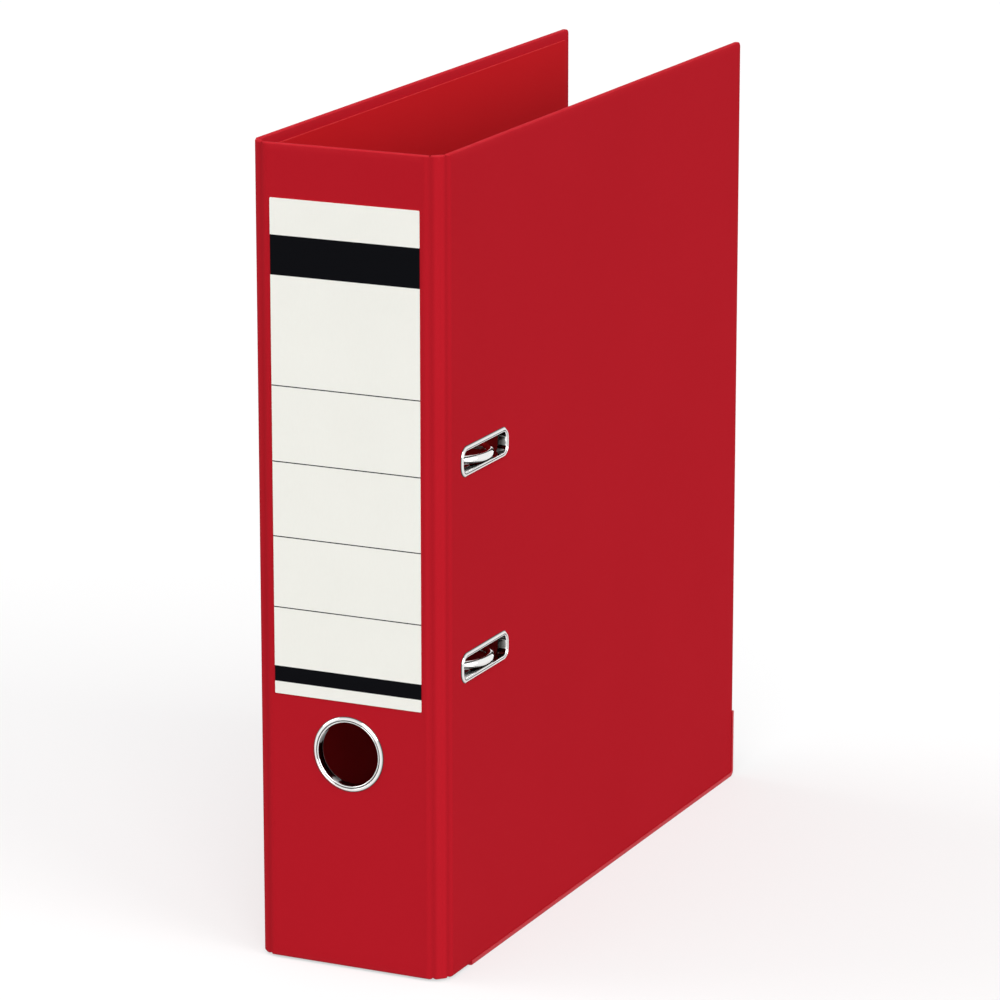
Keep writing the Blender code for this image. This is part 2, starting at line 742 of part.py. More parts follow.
def make_leaf_spring(frame, steel):
    """A bent strip riveted to the plate, pressing the crank up from below."""
    low = PLATE + SEAT
    top = SHAFT_RISE - WIRE / 2 - FIT
    fixed = ROLLER_AT + LEAF_REACH
    bend = fixed - LEAF_BEND
    free = ROLLER_AT - WIRE
    outline = [(fixed, low), (fixed, low + LEAF), (bend, low + LEAF), (ROLLER_AT, top), (free, top)]
    outline += [(free, top - LEAF), (ROLLER_AT, top - LEAF), (bend, low)]
    half = LEAF_WIDTH / 2
    leaf = add_piece("leaf_spring", prism(outline, in_section, CENTRE - half, CENTRE + half), steel, frame)
    place = (LEAF_RIVET_AT, CENTRE)
    hole = circle(place, LEAF_RIVET / 2 + FIT, 16)
    cut(leaf, prism(hole, over_plate, 0, low + 2 * LEAF))
    seat = low + LEAF + SEAT
    head = LEAF_RIVET_HEAD / 2
    profile = [
        (LEAF_RIVET / 2, SEAT),
        (LEAF_RIVET / 2, seat),
        (head, seat),
        (head, seat + LEAF_RIVET_HEIGHT / 2),
        (0.5 * head, seat + LEAF_RIVET_HEIGHT),
    ]
    add_piece("spring_rivet", turned(profile, place, over_plate, 16), steel, frame)


def make_compressor(frame, steel, plastic):
    """A pressed channel bar on two bushes, which slides on the posts to hold the paper down."""
    centre = (POST_AT, CENTRE)
    corner = BAR_WIDTH / 2.2
    body = prism(rounded(centre, BAR_WIDTH, BAR_LENGTH, corner), over_plate, BAR_RISE, BAR_RISE + BAR_FLANGE)
    bar = add_piece("compressor_bar", body, steel, frame)
    sheets = 2 * BAR_SHEET
    inside = rounded(centre, BAR_WIDTH - sheets, BAR_LENGTH - sheets, corner - BAR_SHEET)
    cut(bar, prism(inside, over_plate, BAR_RISE + BAR_SHEET, BAR_RISE + 2 * BAR_FLANGE))
    holes = bmesh.new()
    for height in ARCH_HEIGHTS.values():
        prism(circle((POST_AT, height), BUSH / 2 + SEAT), over_plate, 0, BAR_RISE + BAR_FLANGE, holes)
    cut(bar, holes)
    bore = POST / 2 + PIN_CLEARANCE
    wall = BUSH / 2 - bore
    flange = BUSH_FLANGE / 2 - bore
    low = BAR_RISE - SEAT - BUSH_FLANGE_HEIGHT
    profile = [
        (0, low),
        (0, low + BUSH_HEIGHT),
        (wall, low + BUSH_HEIGHT),
        (wall, low + BUSH_FLANGE_HEIGHT),
        (flange, low + BUSH_FLANGE_HEIGHT),
        (flange, low),
    ]
    for name, height in ARCH_HEIGHTS.items():
        def outline(offset, height=height):
            return circle((POST_AT, height), bore + offset)
        add_piece(f"{name}_compressor_bush", rim(outline, profile, over_plate), plastic, frame)


def main():
    clear_scene()
    red = make_material("red_covering", (0.451, 0.0144, 0.0232), 0.55, 0)
    lining = make_material("red_lining", (0.392, 0.0103, 0.0144), 0.6, 0)
    lacquer = make_material("red_lacquer", (0.5, 0.02, 0.03), 0.25, 0)
    paper = make_material("label_paper", (0.91, 0.91, 0.85), 0.7, 0)
    chrome = make_material("chrome_plate", (0.86, 0.86, 0.85), 0.12, 1)
    steel = make_material("nickel_steel", (0.62, 0.62, 0.6), 0.3, 1)
    plastic = make_material("black_plastic", (0.02, 0.02, 0.02), 0.45, 0)

    _, rear_crease, rear_spine, front_spine, front_crease, _ = case_corners()
    shaft = in_section(ARCH_FOOT, SHAFT_RISE, CENTRE)
    root = make_frame("rear_cover", (0, -Y_MIDDLE, 0))
    rear_strip = make_frame("rear_strip_axis", (*rear_crease, MIDDLE), root)
    spine = make_frame("spine_axis", (*rear_spine, MIDDLE), rear_strip)
    front_strip = make_frame("front_strip_axis", (*front_spine, MIDDLE), spine)
    front_cover = make_frame("front_cover_axis", (*front_crease, MIDDLE), front_strip)
    arches = make_frame("arch_axis", shaft, root)
    lever = make_frame("lever_axis", in_section(PIVOT_AT, PIVOT_RISE, CENTRE), root)
    roller = make_frame("roller_axis", in_section(ROLLER_AT, ROLLER_RISE, CENTRE), lever)
    compressor = make_frame("compressor_axis", in_section(POST_AT, BAR_RISE, CENTRE), root)

    make_rear_cover(root, red, lining, lacquer)
    add_piece("rear_hinge_strip", panel(1), red, rear_strip)
    make_spine(spine, red, lining, paper, chrome)
    add_piece("front_hinge_strip", panel(3), red, front_strip)
    make_front_cover(front_cover, red, lining, lacquer, chrome)

    make_base_plate(root, steel)
    make_rivets(root, steel)
    make_posts(root, chrome)
    make_leaf_spring(root, steel)
    pin_reach = LEVER_WIDTH / 2 + FIT + EAR_SHEET
    headed_pin("lever_pin", (PIVOT_AT, PIVOT_RISE), PIN, PIN_HEAD, pin_reach, chrome, root)
    make_arches(arches, chrome)
    make_lever(lever, steel, chrome)
    make_roller(roller, plastic)
    make_compressor(compressor, steel, plastic)


main()
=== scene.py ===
# %% [markdown]
# # A red lever arch file
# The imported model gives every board, ring, wire and lever of the file as plain solids that already stand in
# the right place. This lesson dresses them: the boards get soft, paper-covered edges, the metal gets rolled
# rims and round wires, and every surface gets a finish made from nodes.

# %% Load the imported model
import json
import math
from functools import partial

import bmesh
import bpy
import numpy as np
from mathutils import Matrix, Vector


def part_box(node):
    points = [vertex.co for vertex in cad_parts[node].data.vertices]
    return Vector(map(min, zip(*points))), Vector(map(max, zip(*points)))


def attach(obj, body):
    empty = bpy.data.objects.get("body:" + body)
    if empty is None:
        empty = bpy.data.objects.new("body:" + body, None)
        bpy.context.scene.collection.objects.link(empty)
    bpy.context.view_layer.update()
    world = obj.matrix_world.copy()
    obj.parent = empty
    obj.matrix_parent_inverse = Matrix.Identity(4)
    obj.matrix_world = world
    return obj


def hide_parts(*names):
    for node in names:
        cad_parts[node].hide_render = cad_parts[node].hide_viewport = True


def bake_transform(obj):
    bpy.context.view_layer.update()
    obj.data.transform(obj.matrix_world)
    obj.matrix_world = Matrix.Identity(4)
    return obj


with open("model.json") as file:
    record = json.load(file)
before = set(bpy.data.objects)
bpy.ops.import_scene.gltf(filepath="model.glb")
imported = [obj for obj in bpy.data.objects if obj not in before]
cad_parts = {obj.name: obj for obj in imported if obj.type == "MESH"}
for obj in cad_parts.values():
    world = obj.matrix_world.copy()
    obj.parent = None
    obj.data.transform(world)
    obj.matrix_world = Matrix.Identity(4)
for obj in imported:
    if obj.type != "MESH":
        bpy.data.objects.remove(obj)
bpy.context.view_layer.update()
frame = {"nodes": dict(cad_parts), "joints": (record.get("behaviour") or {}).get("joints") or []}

MM = 0.001
nodes = frame["nodes"]
joints = {joint["name"]: joint for joint in frame["joints"]}
print("nodes:", len(nodes), "joints:", sorted(joints))

# %% [markdown]
# ## Camera
# The photograph was taken from a long way off with a long lens, a little above the file and to the right of
# its spine. A camera without shift, fitted to the corners of the case, gives the place and angles below. The
# photograph's uprights are parallel, which such a camera only comes near.

# %% Camera
SENSOR = 36
LENS = 177.8
FAR_CLIP = 60
CAMERA_AT = (0.804, -1.7321, 0.650)
CAMERA_TILT = math.radians(75.37)
CAMERA_TURN = math.radians(24.99)

bpy.context.scene.view_settings.view_transform = "Standard"
camera_data = bpy.data.cameras.new("photo_camera")
camera_data.sensor_width = SENSOR
camera_data.lens = LENS
camera_data.clip_end = FAR_CLIP
camera = bpy.data.objects.new("photo_camera", camera_data)
camera.location = CAMERA_AT
camera.rotation_euler = (CAMERA_TILT, 0, CAMERA_TURN)
bpy.context.collection.objects.link(camera)
bpy.context.scene.camera = camera
print("camera at", tuple(round(c, 3) for c in camera.location))

# %% [markdown]
# ## From arrays to meshes
# Most pieces here are lofts: a row of closed loops, each an array of points, joined to the next by quads.
# numpy makes the whole table of corner numbers at once, so no loop walks over the vertices.

# %% Loft helpers
SHARP_ANGLE = math.radians(40)


def loft_faces(rows, columns, ring):
    """Quads between neighbouring loops: corner (i, j) is i * columns + j, and a ring joins last to first."""
    i, j = np.meshgrid(np.arange(rows if ring else rows - 1), np.arange(columns), indexing="ij")
    below = (i + 1) % rows
    beside = (j + 1) % columns
    corners = (i * columns + j, i * columns + beside, below * columns + beside, below * columns + j)
    return np.stack(corners, axis=-1).reshape(-1, 4)


def store(mesh, name, values):
    """Keeps one number from 0 to 1 a point for the finishes: how much paler an edge is, from rubbing and
    painted highlight, or how much painted shade a point gets.
    """
    layer = mesh.attributes.new(name, "FLOAT", "POINT")
    layer.data.foreach_set("value", np.ascontiguousarray(values, dtype=np.float32).ravel())


def add_mesh(name, points, quads, caps=(), edge=None):
    """A mesh object from points, quads and capping loops, with its faces turned outwards."""
    mesh = bpy.data.meshes.new(name)
    mesh.from_pydata(points.reshape(-1, 3), [], [*quads.tolist(), *[list(cap) for cap in caps]])
    if edge is not None:
        store(mesh, "edge", edge)
    shell = bmesh.new()
    shell.from_mesh(mesh)
    bmesh.ops.recalc_face_normals(shell, faces=shell.faces)
    shell.to_mesh(mesh)
    shell.free()
    mesh.shade_smooth()
    mesh.set_sharp_from_angle(angle=SHARP_ANGLE)
    piece = bpy.data.objects.new(name, mesh)
    bpy.context.collection.objects.link(piece)
    return piece


def loft(name, loops, ring=False, edge=None):
    """Loops of equal length joined in a row: open lofts are capped, rings are closed on themselves."""
    rows, columns = loops.shape[:2]
    ends = () if ring else (range(columns), range((rows - 1) * columns, rows * columns))
    return add_mesh(name, loops, loft_faces(rows, columns, ring), ends, edge)


def dress(piece, body, slot_name, finish, *replaced):
    """Gives a piece its finish, the body that it moves with and the nodes it stands for. The slot name is not
    used.
    """
    piece.data.materials.clear()
    piece.data.materials.append(finish)
    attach(piece, body)
    if replaced:
        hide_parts(*replaced)
    return piece

# %% [markdown]
# ## Shared effects
# Paper, paint and metal all show small changes of tone and height. Three node groups give these: a fibrous
# grain for paper, paler edges, partly rubbing and partly painted highlight, that read the attribute stored on
# the boards, and fine scratches for metal.

# %% Node group helpers
def new_group(name, inputs, outputs):
    """A shader node group with float inputs, given as {name: default}, and named outputs."""
    group = bpy.data.node_groups.new(name, "ShaderNodeTree")
    for socket, default in inputs.items():
        made = group.interface.new_socket(socket, in_out="INPUT", socket_type="NodeSocketFloat")
        made.default_value = default
    for socket in outputs:
        group.interface.new_socket(socket, in_out="OUTPUT", socket_type="NodeSocketFloat")
    return group, group.nodes.new("NodeGroupInput"), group.nodes.new("NodeGroupOutput")


def node(tree, kind, settings=None, **values):
    """A node with its settings and unlinked input values. Socket names use _ for a space."""
    made = tree.nodes.new(kind)
    for key, value in (settings or {}).items():
        setattr(made, key, value)
    for key, value in values.items():
        made.inputs[key.replace("_", " ")].default_value = value
    return made


def math_node(tree, operation, first, second=None, third=None):
    """A Math node whose inputs are sockets or numbers."""
    made = node(tree, "ShaderNodeMath", {"operation": operation})
    for number, value in enumerate((first, second, third)):
        if value is None:
            continue
        if isinstance(value, (int, float)):
            made.inputs[number].default_value = value
        else:
            tree.links.new(value, made.inputs[number])
    return made.outputs[0]

# %% Paper grain
def make_grain():
    """Fibres: noise squeezed along one axis, plus soft clouds. Tone is their mix, Height the fibres alone."""
    inputs = {"Fibre scale": 900, "Cloud scale": 14}
    group, given, result = new_group("paper_grain", inputs, ("Tone", "Height"))
    place = node(group, "ShaderNodeTexCoord")
    squeeze = node(group, "ShaderNodeMapping", Scale=(1, 1, 0.35))
    fibres = node(group, "ShaderNodeTexNoise", Detail=4, Roughness=0.6)
    clouds = node(group, "ShaderNodeTexNoise", Detail=3, Roughness=0.5)
    group.links.new(place.outputs["Object"], squeeze.inputs["Vector"])
    group.links.new(squeeze.outputs["Vector"], fibres.inputs["Vector"])
    group.links.new(place.outputs["Object"], clouds.inputs["Vector"])
    group.links.new(given.outputs["Fibre scale"], fibres.inputs["Scale"])
    group.links.new(given.outputs["Cloud scale"], clouds.inputs["Scale"])
    tone = math_node(group, "MULTIPLY_ADD", fibres.outputs["Fac"], 0.45, math_node(
        group, "MULTIPLY", clouds.outputs["Fac"], 0.55))
    group.links.new(tone, result.inputs["Tone"])
    group.links.new(fibres.outputs["Fac"], result.inputs["Height"])
    return group


paper_grain = make_grain()
print("made", paper_grain.name)

# %% Paler edges: rubbing and painted highlight
def make_edge_rub_and_highlight():
    """Paler edges, partly rubbing and partly painted highlight: the edge attribute, broken up by noise and
    narrowed, so that corners go pale before flats do.
    """
    group, given, result = new_group("edge_wear", {"Amount": 0.5, "Break up": 130}, ("Mask",))
    place = node(group, "ShaderNodeTexCoord")
    wear_and_highlight = node(group, "ShaderNodeAttribute", {"attribute_name": "edge"})
    patches = node(group, "ShaderNodeTexNoise", Detail=5, Roughness=0.65)
    group.links.new(place.outputs["Object"], patches.inputs["Vector"])
    group.links.new(given.outputs["Break up"], patches.inputs["Scale"])
    spread = math_node(group, "MULTIPLY", wear_and_highlight.outputs["Fac"], math_node(
        group, "SMOOTH_MIN", math_node(group, "MULTIPLY", patches.outputs["Fac"], 1.6), 1.0, 0.2))
    mask = math_node(group, "MULTIPLY", math_node(group, "POWER", spread, 1.6), given.outputs["Amount"])
    group.links.new(mask, result.inputs["Mask"])
    return group


edge_wear = make_edge_rub_and_highlight()
print("made", edge_wear.name)

# %% Metal scratches
def make_scratches():
    """Hairlines are noise drawn out along Z. A broad Haze shifts roughness, and Height feeds a bump."""
    inputs = {"Line scale": 1400, "Haze scale": 60}
    group, given, result = new_group("metal_scratches", inputs, ("Haze", "Height"))
    place = node(group, "ShaderNodeTexCoord")
    draw_out = node(group, "ShaderNodeMapping", Scale=(1, 1, 0.03))
    lines = node(group, "ShaderNodeTexNoise", Detail=2, Roughness=0.5)
    haze = node(group, "ShaderNodeTexNoise", Detail=4, Roughness=0.6)
    group.links.new(place.outputs["Object"], draw_out.inputs["Vector"])
    group.links.new(draw_out.outputs["Vector"], lines.inputs["Vector"])
    group.links.new(place.outputs["Object"], haze.inputs["Vector"])
    group.links.new(given.outputs["Line scale"], lines.inputs["Scale"])
    group.links.new(given.outputs["Haze scale"], haze.inputs["Scale"])
    group.links.new(haze.outputs["Fac"], result.inputs["Haze"])
    group.links.new(lines.outputs["Fac"], result.inputs["Height"])
    return group


scratches = make_scratches()
print("made", scratches.name)

# %% [markdown]
# ## Finishes
# Every finish is one Principled shader. The groups above feed its colour, roughness and bump, and what is the
# same all over the surface, such as the metal's coat or the paper's specular level, is set on its own socket.

# %% Finish helpers
def new_finish(name, **values):
    """A material with a Principled shader whose constant sockets take the given values."""
    finish = bpy.data.materials.new(name)
    finish.use_nodes = True
    shader = finish.node_tree.nodes["Principled BSDF"]
    for key, value in values.items():
        shader.inputs[key.replace("_", " ")].default_value = value
    return finish, finish.node_tree, shader


def place_group(tree, group, **values):
    """One of the groups above, placed in a material with its own values."""
    placed = node(tree, "ShaderNodeGroup", {"node_tree": group})
    for key, value in values.items():
        placed.inputs[key.replace("_", " ")].default_value = value
    return placed


def mix_colour(tree, factor, first, second):
    """A colour that goes from first to second as the factor goes from 0 to 1; both may be sockets."""
    mix = node(tree, "ShaderNodeMix", {"data_type": "RGBA"})
    tree.links.new(factor, mix.inputs["Factor"])
    for socket, value in ((mix.inputs[6], first), (mix.inputs[7], second)):
        if isinstance(value, bpy.types.NodeSocket):
            tree.links.new(value, socket)
        else:
            socket.default_value = (*value, 1)
    return mix.outputs[2]


def span(tree, value, low, high):
    """Maps 0..1 to low..high."""
    return math_node(tree, "MULTIPLY_ADD", value, high - low, low)


def bump(tree, shader, height, strength, distance):
    """Tilts the shader's normal by a height that is at most distance metres."""
    made = node(tree, "ShaderNodeBump", Strength=strength, Distance=distance)
    tree.links.new(height, made.inputs["Height"])
    tree.links.new(made.outputs["Normal"], shader.inputs["Normal"])

# %% Red covering and lining
# Painted shade for the creases: how strongly the crease ribbons are darkened, and to what share of the paper's
# dark tone.
PAINTED_SHADE_STRENGTH = 0.16
PAINTED_SHADE_TONE = 0.25
ROUGH_SPREAD = 0.08


def paper_finish(name, dark, light, wear_and_highlight_colour, wear_and_highlight_amount, rough, fibre, relief):
    """Coloured paper: two close tones by grain, paler along edges from rubbing and painted highlight, darker
    in creases by painted shade, with fibres.
    """
    finish, tree, shader = new_finish(name, Specular_IOR_Level=0.05)
    grain = place_group(tree, paper_grain, Fibre_scale=fibre, Cloud_scale=16)
    wear_and_highlight = place_group(tree, edge_wear, Amount=wear_and_highlight_amount, Break_up=160)
    tone = mix_colour(tree, grain.outputs["Tone"], dark, light)
    # Edges are mixed towards a paler colour, partly as rubbing and partly as painted highlight.
    colour = mix_colour(tree, wear_and_highlight.outputs["Mask"], tone, wear_and_highlight_colour)
    # Painted shade: where the crease ribbons store it, the paper is mixed towards a quarter of its dark tone.
    pressed = node(tree, "ShaderNodeAttribute", {"attribute_name": "pressed"})
    depth = math_node(tree, "MULTIPLY", pressed.outputs["Fac"], PAINTED_SHADE_STRENGTH)
    shade = tuple(part * PAINTED_SHADE_TONE for part in dark)
    tree.links.new(mix_colour(tree, depth, colour, shade), shader.inputs["Base Color"])
    roughness = span(tree, grain.outputs["Height"], rough - ROUGH_SPREAD, rough + ROUGH_SPREAD)
    tree.links.new(roughness, shader.inputs["Roughness"])
    bump(tree, shader, grain.outputs["Height"], relief, 0.00008)
    return finish


# The covering's paler edge colour stands partly for rubbing and partly for painted highlight.
covering = paper_finish(
    "red_covering", dark=(0.405, 0.0072, 0.0145), light=(0.455, 0.0092, 0.0185), wear_and_highlight_colour=(0.54, 0.035, 0.045),
    wear_and_highlight_amount=0.35, rough=0.78, fibre=1500, relief=0.35)
# The lining's paler edge colour is a painted highlight on its turned edge.
lining = paper_finish(
    "red_lining", dark=(0.445, 0.0080, 0.0115), light=(0.49, 0.0095, 0.0145), wear_and_highlight_colour=(0.66, 0.06, 0.065),
    wear_and_highlight_amount=0.5, rough=0.82, fibre=1100, relief=0.3)
print("made", covering.name, lining.name)

# %% Red lacquer
def lacquer_finish():
    """Stoved lacquer on thin steel: a clear coat over red, a faint unevenness, and a painted highlight that
    pales the rounded corners.
    """
    finish, tree, shader = new_finish("red_lacquer", Coat_Weight=0.06, Coat_Roughness=0.2,
                                      Specular_IOR_Level=0.1)
    marks = place_group(tree, scratches, Line_scale=900, Haze_scale=220)
    wear_and_highlight = place_group(tree, edge_wear, Amount=0.7, Break_up=90)
    red = mix_colour(tree, marks.outputs["Haze"], (0.44, 0.010, 0.020), (0.52, 0.016, 0.028))
    # Painted highlight: the rail's rounded corners are mixed towards pale pink.
    colour = mix_colour(tree, wear_and_highlight.outputs["Mask"], red, (1.0, 0.17, 0.22))
    tree.links.new(colour, shader.inputs["Base Color"])
    tree.links.new(span(tree, marks.outputs["Haze"], 0.3, 0.46), shader.inputs["Roughness"])
    bump(tree, shader, marks.outputs["Haze"], 0.15, 0.00005)
    return finish


lacquer = lacquer_finish()
print("made", lacquer.name)

# %% Plated metals and black plastic
# Painted shade: the nearly black colour that rim grooves, feet and barrels are mixed towards.
PAINTED_SHADE_COLOUR = (0.012, 0.011, 0.010)


def metal_finish(name, dark, light, smooth, rough, relief):
    """Plated steel: haze shifts tone and roughness, hairlines give a bump, and rims get nearly black painted
    shade in grooves, feet and barrels.
    """
    finish, tree, shader = new_finish(name, Metallic=1)
    marks = place_group(tree, scratches, Line_scale=1600, Haze_scale=90)
    plated = mix_colour(tree, marks.outputs["Haze"], dark, light)
    # Painted shade: points of the rims that store it are mixed towards nearly black.
    pressed = node(tree, "ShaderNodeAttribute", {"attribute_name": "pressed"})
    tree.links.new(mix_colour(tree, pressed.outputs["Fac"], plated, PAINTED_SHADE_COLOUR), shader.inputs["Base Color"])
    tree.links.new(span(tree, marks.outputs["Haze"], smooth, rough), shader.inputs["Roughness"])
    bump(tree, shader, marks.outputs["Height"], relief, 0.00004)
    return finish


def plastic_finish():
    """Moulded plastic: near black, with the soft pitting of a spark-eroded mould."""
    finish, tree, shader = new_finish("black_plastic", Specular_IOR_Level=0.5)
    pits = place_group(tree, paper_grain, Fibre_scale=2200, Cloud_scale=300)
    tree.links.new(mix_colour(tree, pits.outputs["Tone"], (0.012, 0.012, 0.013), (0.03, 0.03, 0.031)),
                   shader.inputs["Base Color"])
    tree.links.new(span(tree, pits.outputs["Height"], 0.35, 0.55), shader.inputs["Roughness"])
    bump(tree, shader, pits.outputs["Height"], 0.4, 0.00006)
    return finish


chrome = metal_finish("chrome_plate", dark=(0.80, 0.80, 0.79), light=(0.90, 0.90, 0.89),
                      smooth=0.05, rough=0.14, relief=0.05)
nickel = metal_finish("nickel_steel", dark=(0.55, 0.545, 0.52), light=(0.68, 0.675, 0.65),
                      smooth=0.2, rough=0.36, relief=0.2)
plastic = plastic_finish()
print("made", chrome.name, nickel.name, plastic.name)

# %% [markdown]
# ## Boards
# The case is five strips of grey board wrapped in one sheet of red paper. Each board is a loft through its
# own thickness: every loop is the board's outline at one depth, drawn in a little near both faces, which
# gives the soft edges of wrapped paper. The edges beside a crease are rounder, because the paper dips there.

# %% Outline of the case
BOARD = 2.2 * MM
CREASE_GAP = 0.3 * MM
FOLDS = ("rear_strip_fold", "spine_fold", "front_strip_fold", "front_cover_fold")
front_low, front_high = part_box("front_cover_board")
creases = np.array([joints[name]["pos_m"][:2] for name in FOLDS])
outer = np.vstack([(creases[0, 0], front_high.y), creases, (creases[3, 0], front_high.y)])
runs = np.diff(outer, axis=0)
widths = np.linalg.norm(runs, axis=1)
runs = runs / widths[:, None]
inward = np.stack([-runs[:, 1], runs[:, 0]], axis=1)
z_low, z_high = front_low.z, front_high.z
print("panel widths in mm:", np.round(widths / MM, 1))

# %% Board loops
def round_over(depth, radius, thickness, spread=1.0):
    """How far an edge has drawn in at a depth: a quarter ellipse outside, a quarter circle inside."""
    outer_part = np.clip(radius[0] - depth, 0, None)
    inner_part = np.clip(depth - thickness + radius[1], 0, None)
    drawn = radius[0] - np.sqrt(radius[0] ** 2 - outer_part ** 2)
    return drawn * spread + radius[1] - np.sqrt(radius[1] ** 2 - inner_part ** 2)


def corner_arcs(low_a, high_a, low_b, high_b, radii, steps=6):
    """Loops round rectangles with rounded corners. Bounds are one value a loop, radii one a corner."""
    turn = np.linspace(0, np.pi / 2, steps)
    loops = []
    for k, (sign_a, sign_b) in enumerate(((1, 1), (-1, 1), (-1, -1), (1, -1))):
        side_a = (high_a if sign_a > 0 else low_a)[:, None]
        side_b = (high_b if sign_b > 0 else low_b)[:, None]
        radius = radii[k][:, None]
        angle = (turn + k * np.pi / 2)[None, :]
        a = side_a - sign_a * radius + radius * np.cos(angle)
        b = side_b - sign_b * radius + radius * np.sin(angle)
        loops.append(np.stack([a, b], axis=-1))
    return np.concatenate(loops, axis=1)


EDGE_ROUND = np.array([0.55, 0.55]) * MM
CREASE_ROUND = np.array([1.8, 0.3]) * MM
CREASE_SPREAD = 1.55
INNER_SHARE = 0.7
LEAST_STEP = 0.02 * MM
FACE_BAND = 2.5 * MM
CREASE_BAND = 0.05
COVER_CORNER = 2.0 * MM
LEAST_CORNER = 0.5 * MM
INNER_CORNER = 0.4 * MM
TURN_WEAR_AND_HIGHLIGHT = 0.55
PANELS = (("rear_cover_covered", "rear_cover", "rear_cover_board"),
          ("rear_strip_covered", "rear_strip", "rear_hinge_strip"),
          ("spine_covered", "spine", "spine_board"),
          ("front_strip_covered", "front_strip", "front_hinge_strip"),
          ("front_cover_covered", "front_cover", "front_cover_board"))


def board_depths():
    """Depths through a board, close together where its edges turn over."""
    turn = np.linspace(0, np.pi / 2, 8)
    outer_part = CREASE_ROUND[0] * (1 - np.cos(turn))
    inner_part = BOARD - EDGE_ROUND[1] * INNER_SHARE * (1 - np.cos(turn[:5]))[::-1]
    inner_part = np.clip(inner_part, CREASE_ROUND[0] + LEAST_STEP, None)
    return np.concatenate([outer_part, np.unique(inner_part)])


def board(name, index):
    """A panel's outline at each depth, mitred at creases: start + a * run + depth * inward, at height z."""
    depth = np.concatenate([[0], board_depths(), [BOARD]])
    band = np.zeros_like(depth)
    band[[0, -1]] = FACE_BAND
    free = round_over(depth, EDGE_ROUND, BOARD) + band
    crease = round_over(depth, CREASE_ROUND, BOARD, CREASE_SPREAD)
    crease = crease + band * CREASE_BAND + CREASE_GAP / 2
    bounds = []
    for neighbour in (index - 1, index + 1):
        if 0 <= neighbour < len(runs):
            both = inward[index] + inward[neighbour]
            mitre = both / (1 + inward[index] @ inward[neighbour])
            bounds.append(crease + np.abs(mitre @ runs[index]) * depth)
        else:
            bounds.append(free)
    tight = np.full_like(depth, INNER_CORNER)
    wide = np.clip(COVER_CORNER - free + band * 0.5, LEAST_CORNER, None)
    at_end = wide if index == len(PANELS) - 1 else tight
    at_start = wide if index == 0 else tight
    plane = corner_arcs(bounds[0], widths[index] - bounds[1], z_low + free, z_high - free,
                        (at_end, at_start, at_start, at_end))
    floor_plan = outer[index] + plane[..., :1] * runs[index] + depth[:, None, None] * inward[index]
    loops = np.concatenate([floor_plan, plane[..., 1:]], axis=-1)
    # The edges are made paler, partly as rubbing and partly as painted highlight; the loops where they turn
    # get a little less.
    wear_and_highlight = np.repeat(np.where(band > 0, 0.0, 1.0)[:, None], plane.shape[1], axis=1)
    wear_and_highlight[1] = wear_and_highlight[-2] = TURN_WEAR_AND_HIGHLIGHT
    return loft(name, loops, edge=wear_and_highlight)


panels = [board(name, index) for index, (name, _, _) in enumerate(PANELS)]
print("boards:", [len(panel.data.polygons) for panel in panels])

# %% [markdown]
# ## Holes in the boards
# The finger ring, the slot eyelets and the plate's rivets pass through the boards. Each hole is cut once by
# a Boolean with a short prism, and the result is kept as the board's mesh. Eyelets and heads cover the cut
# edges.

# %% Outlines and prisms
def rounded_outline(centre, length, width, radius, steps=8):
    """One rounded rectangle as an array of points, length along the first axis."""
    one = np.ones(1)
    half = (length / 2 * one, width / 2 * one)
    arcs = corner_arcs(-half[0], half[0], -half[1], half[1], [radius * one] * 4, steps)[0]
    return arcs + np.asarray(centre)


def circle_outline(centre, radius, steps=64):
    """Centre + radius * (cos, sin) for equal steps of a full turn."""
    turn = np.linspace(0, 2 * np.pi, steps, endpoint=False)
    return np.asarray(centre) + radius * np.stack([np.cos(turn), np.sin(turn)], axis=1)


def prism_along(name, outline, axis, low, high):
    """A straight prism: the outline's two coordinates fill the axes that are left, in X, Y, Z order."""
    others = [k for k in range(3) if k != axis]
    loops = np.zeros((2, len(outline), 3))
    loops[:, :, others] = outline
    loops[0, :, axis] = low
    loops[1, :, axis] = high
    return loft(name, loops)


def cut_holes(piece, cutters):
    """Cuts prisms out of a piece and keeps the result as its mesh."""
    for cutter in cutters:
        step = piece.modifiers.new(cutter.name, "BOOLEAN")
        step.object = cutter
        step.solver = "EXACT"
    ready = bpy.context.evaluated_depsgraph_get()
    mesh = bpy.data.meshes.new_from_object(piece.evaluated_get(ready))
    piece.modifiers.clear()
    piece.data = mesh
    mesh.set_sharp_from_angle(angle=SHARP_ANGLE)
    for cutter in cutters:
        bpy.data.objects.remove(cutter)


def middle(name):
    """The middle of a node's box."""
    low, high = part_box(name)
    return np.array((low + high) / 2)

# %% Cut the holes
BARREL_HOLE = 0.8 * MM
RING_FLANGE = 2.25 * MM
EYELET_FLANGE = 1.9 * MM
SLOT_CORNER = 2.75 * MM
RIVET_HOLE = 2.3 * MM
HOLE_REACH = np.array([-10, 10]) * MM
RIVETS = [f"plate_rivet_{number}" for number in (1, 2, 3, 4)]
slot_boxes = {name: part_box(f"{name}_slot_eyelet") for name in ("upper", "lower")}
ring_low, ring_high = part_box("finger_ring")
ring_centre = np.array([(ring_low.x + ring_high.x) / 2, (ring_low.z + ring_high.z) / 2])
bore = (ring_high.x - ring_low.x) / 2 - RING_FLANGE
rear_face, spine_face, front_face = outer[0, 0], outer[2, 1], outer[5, 0]


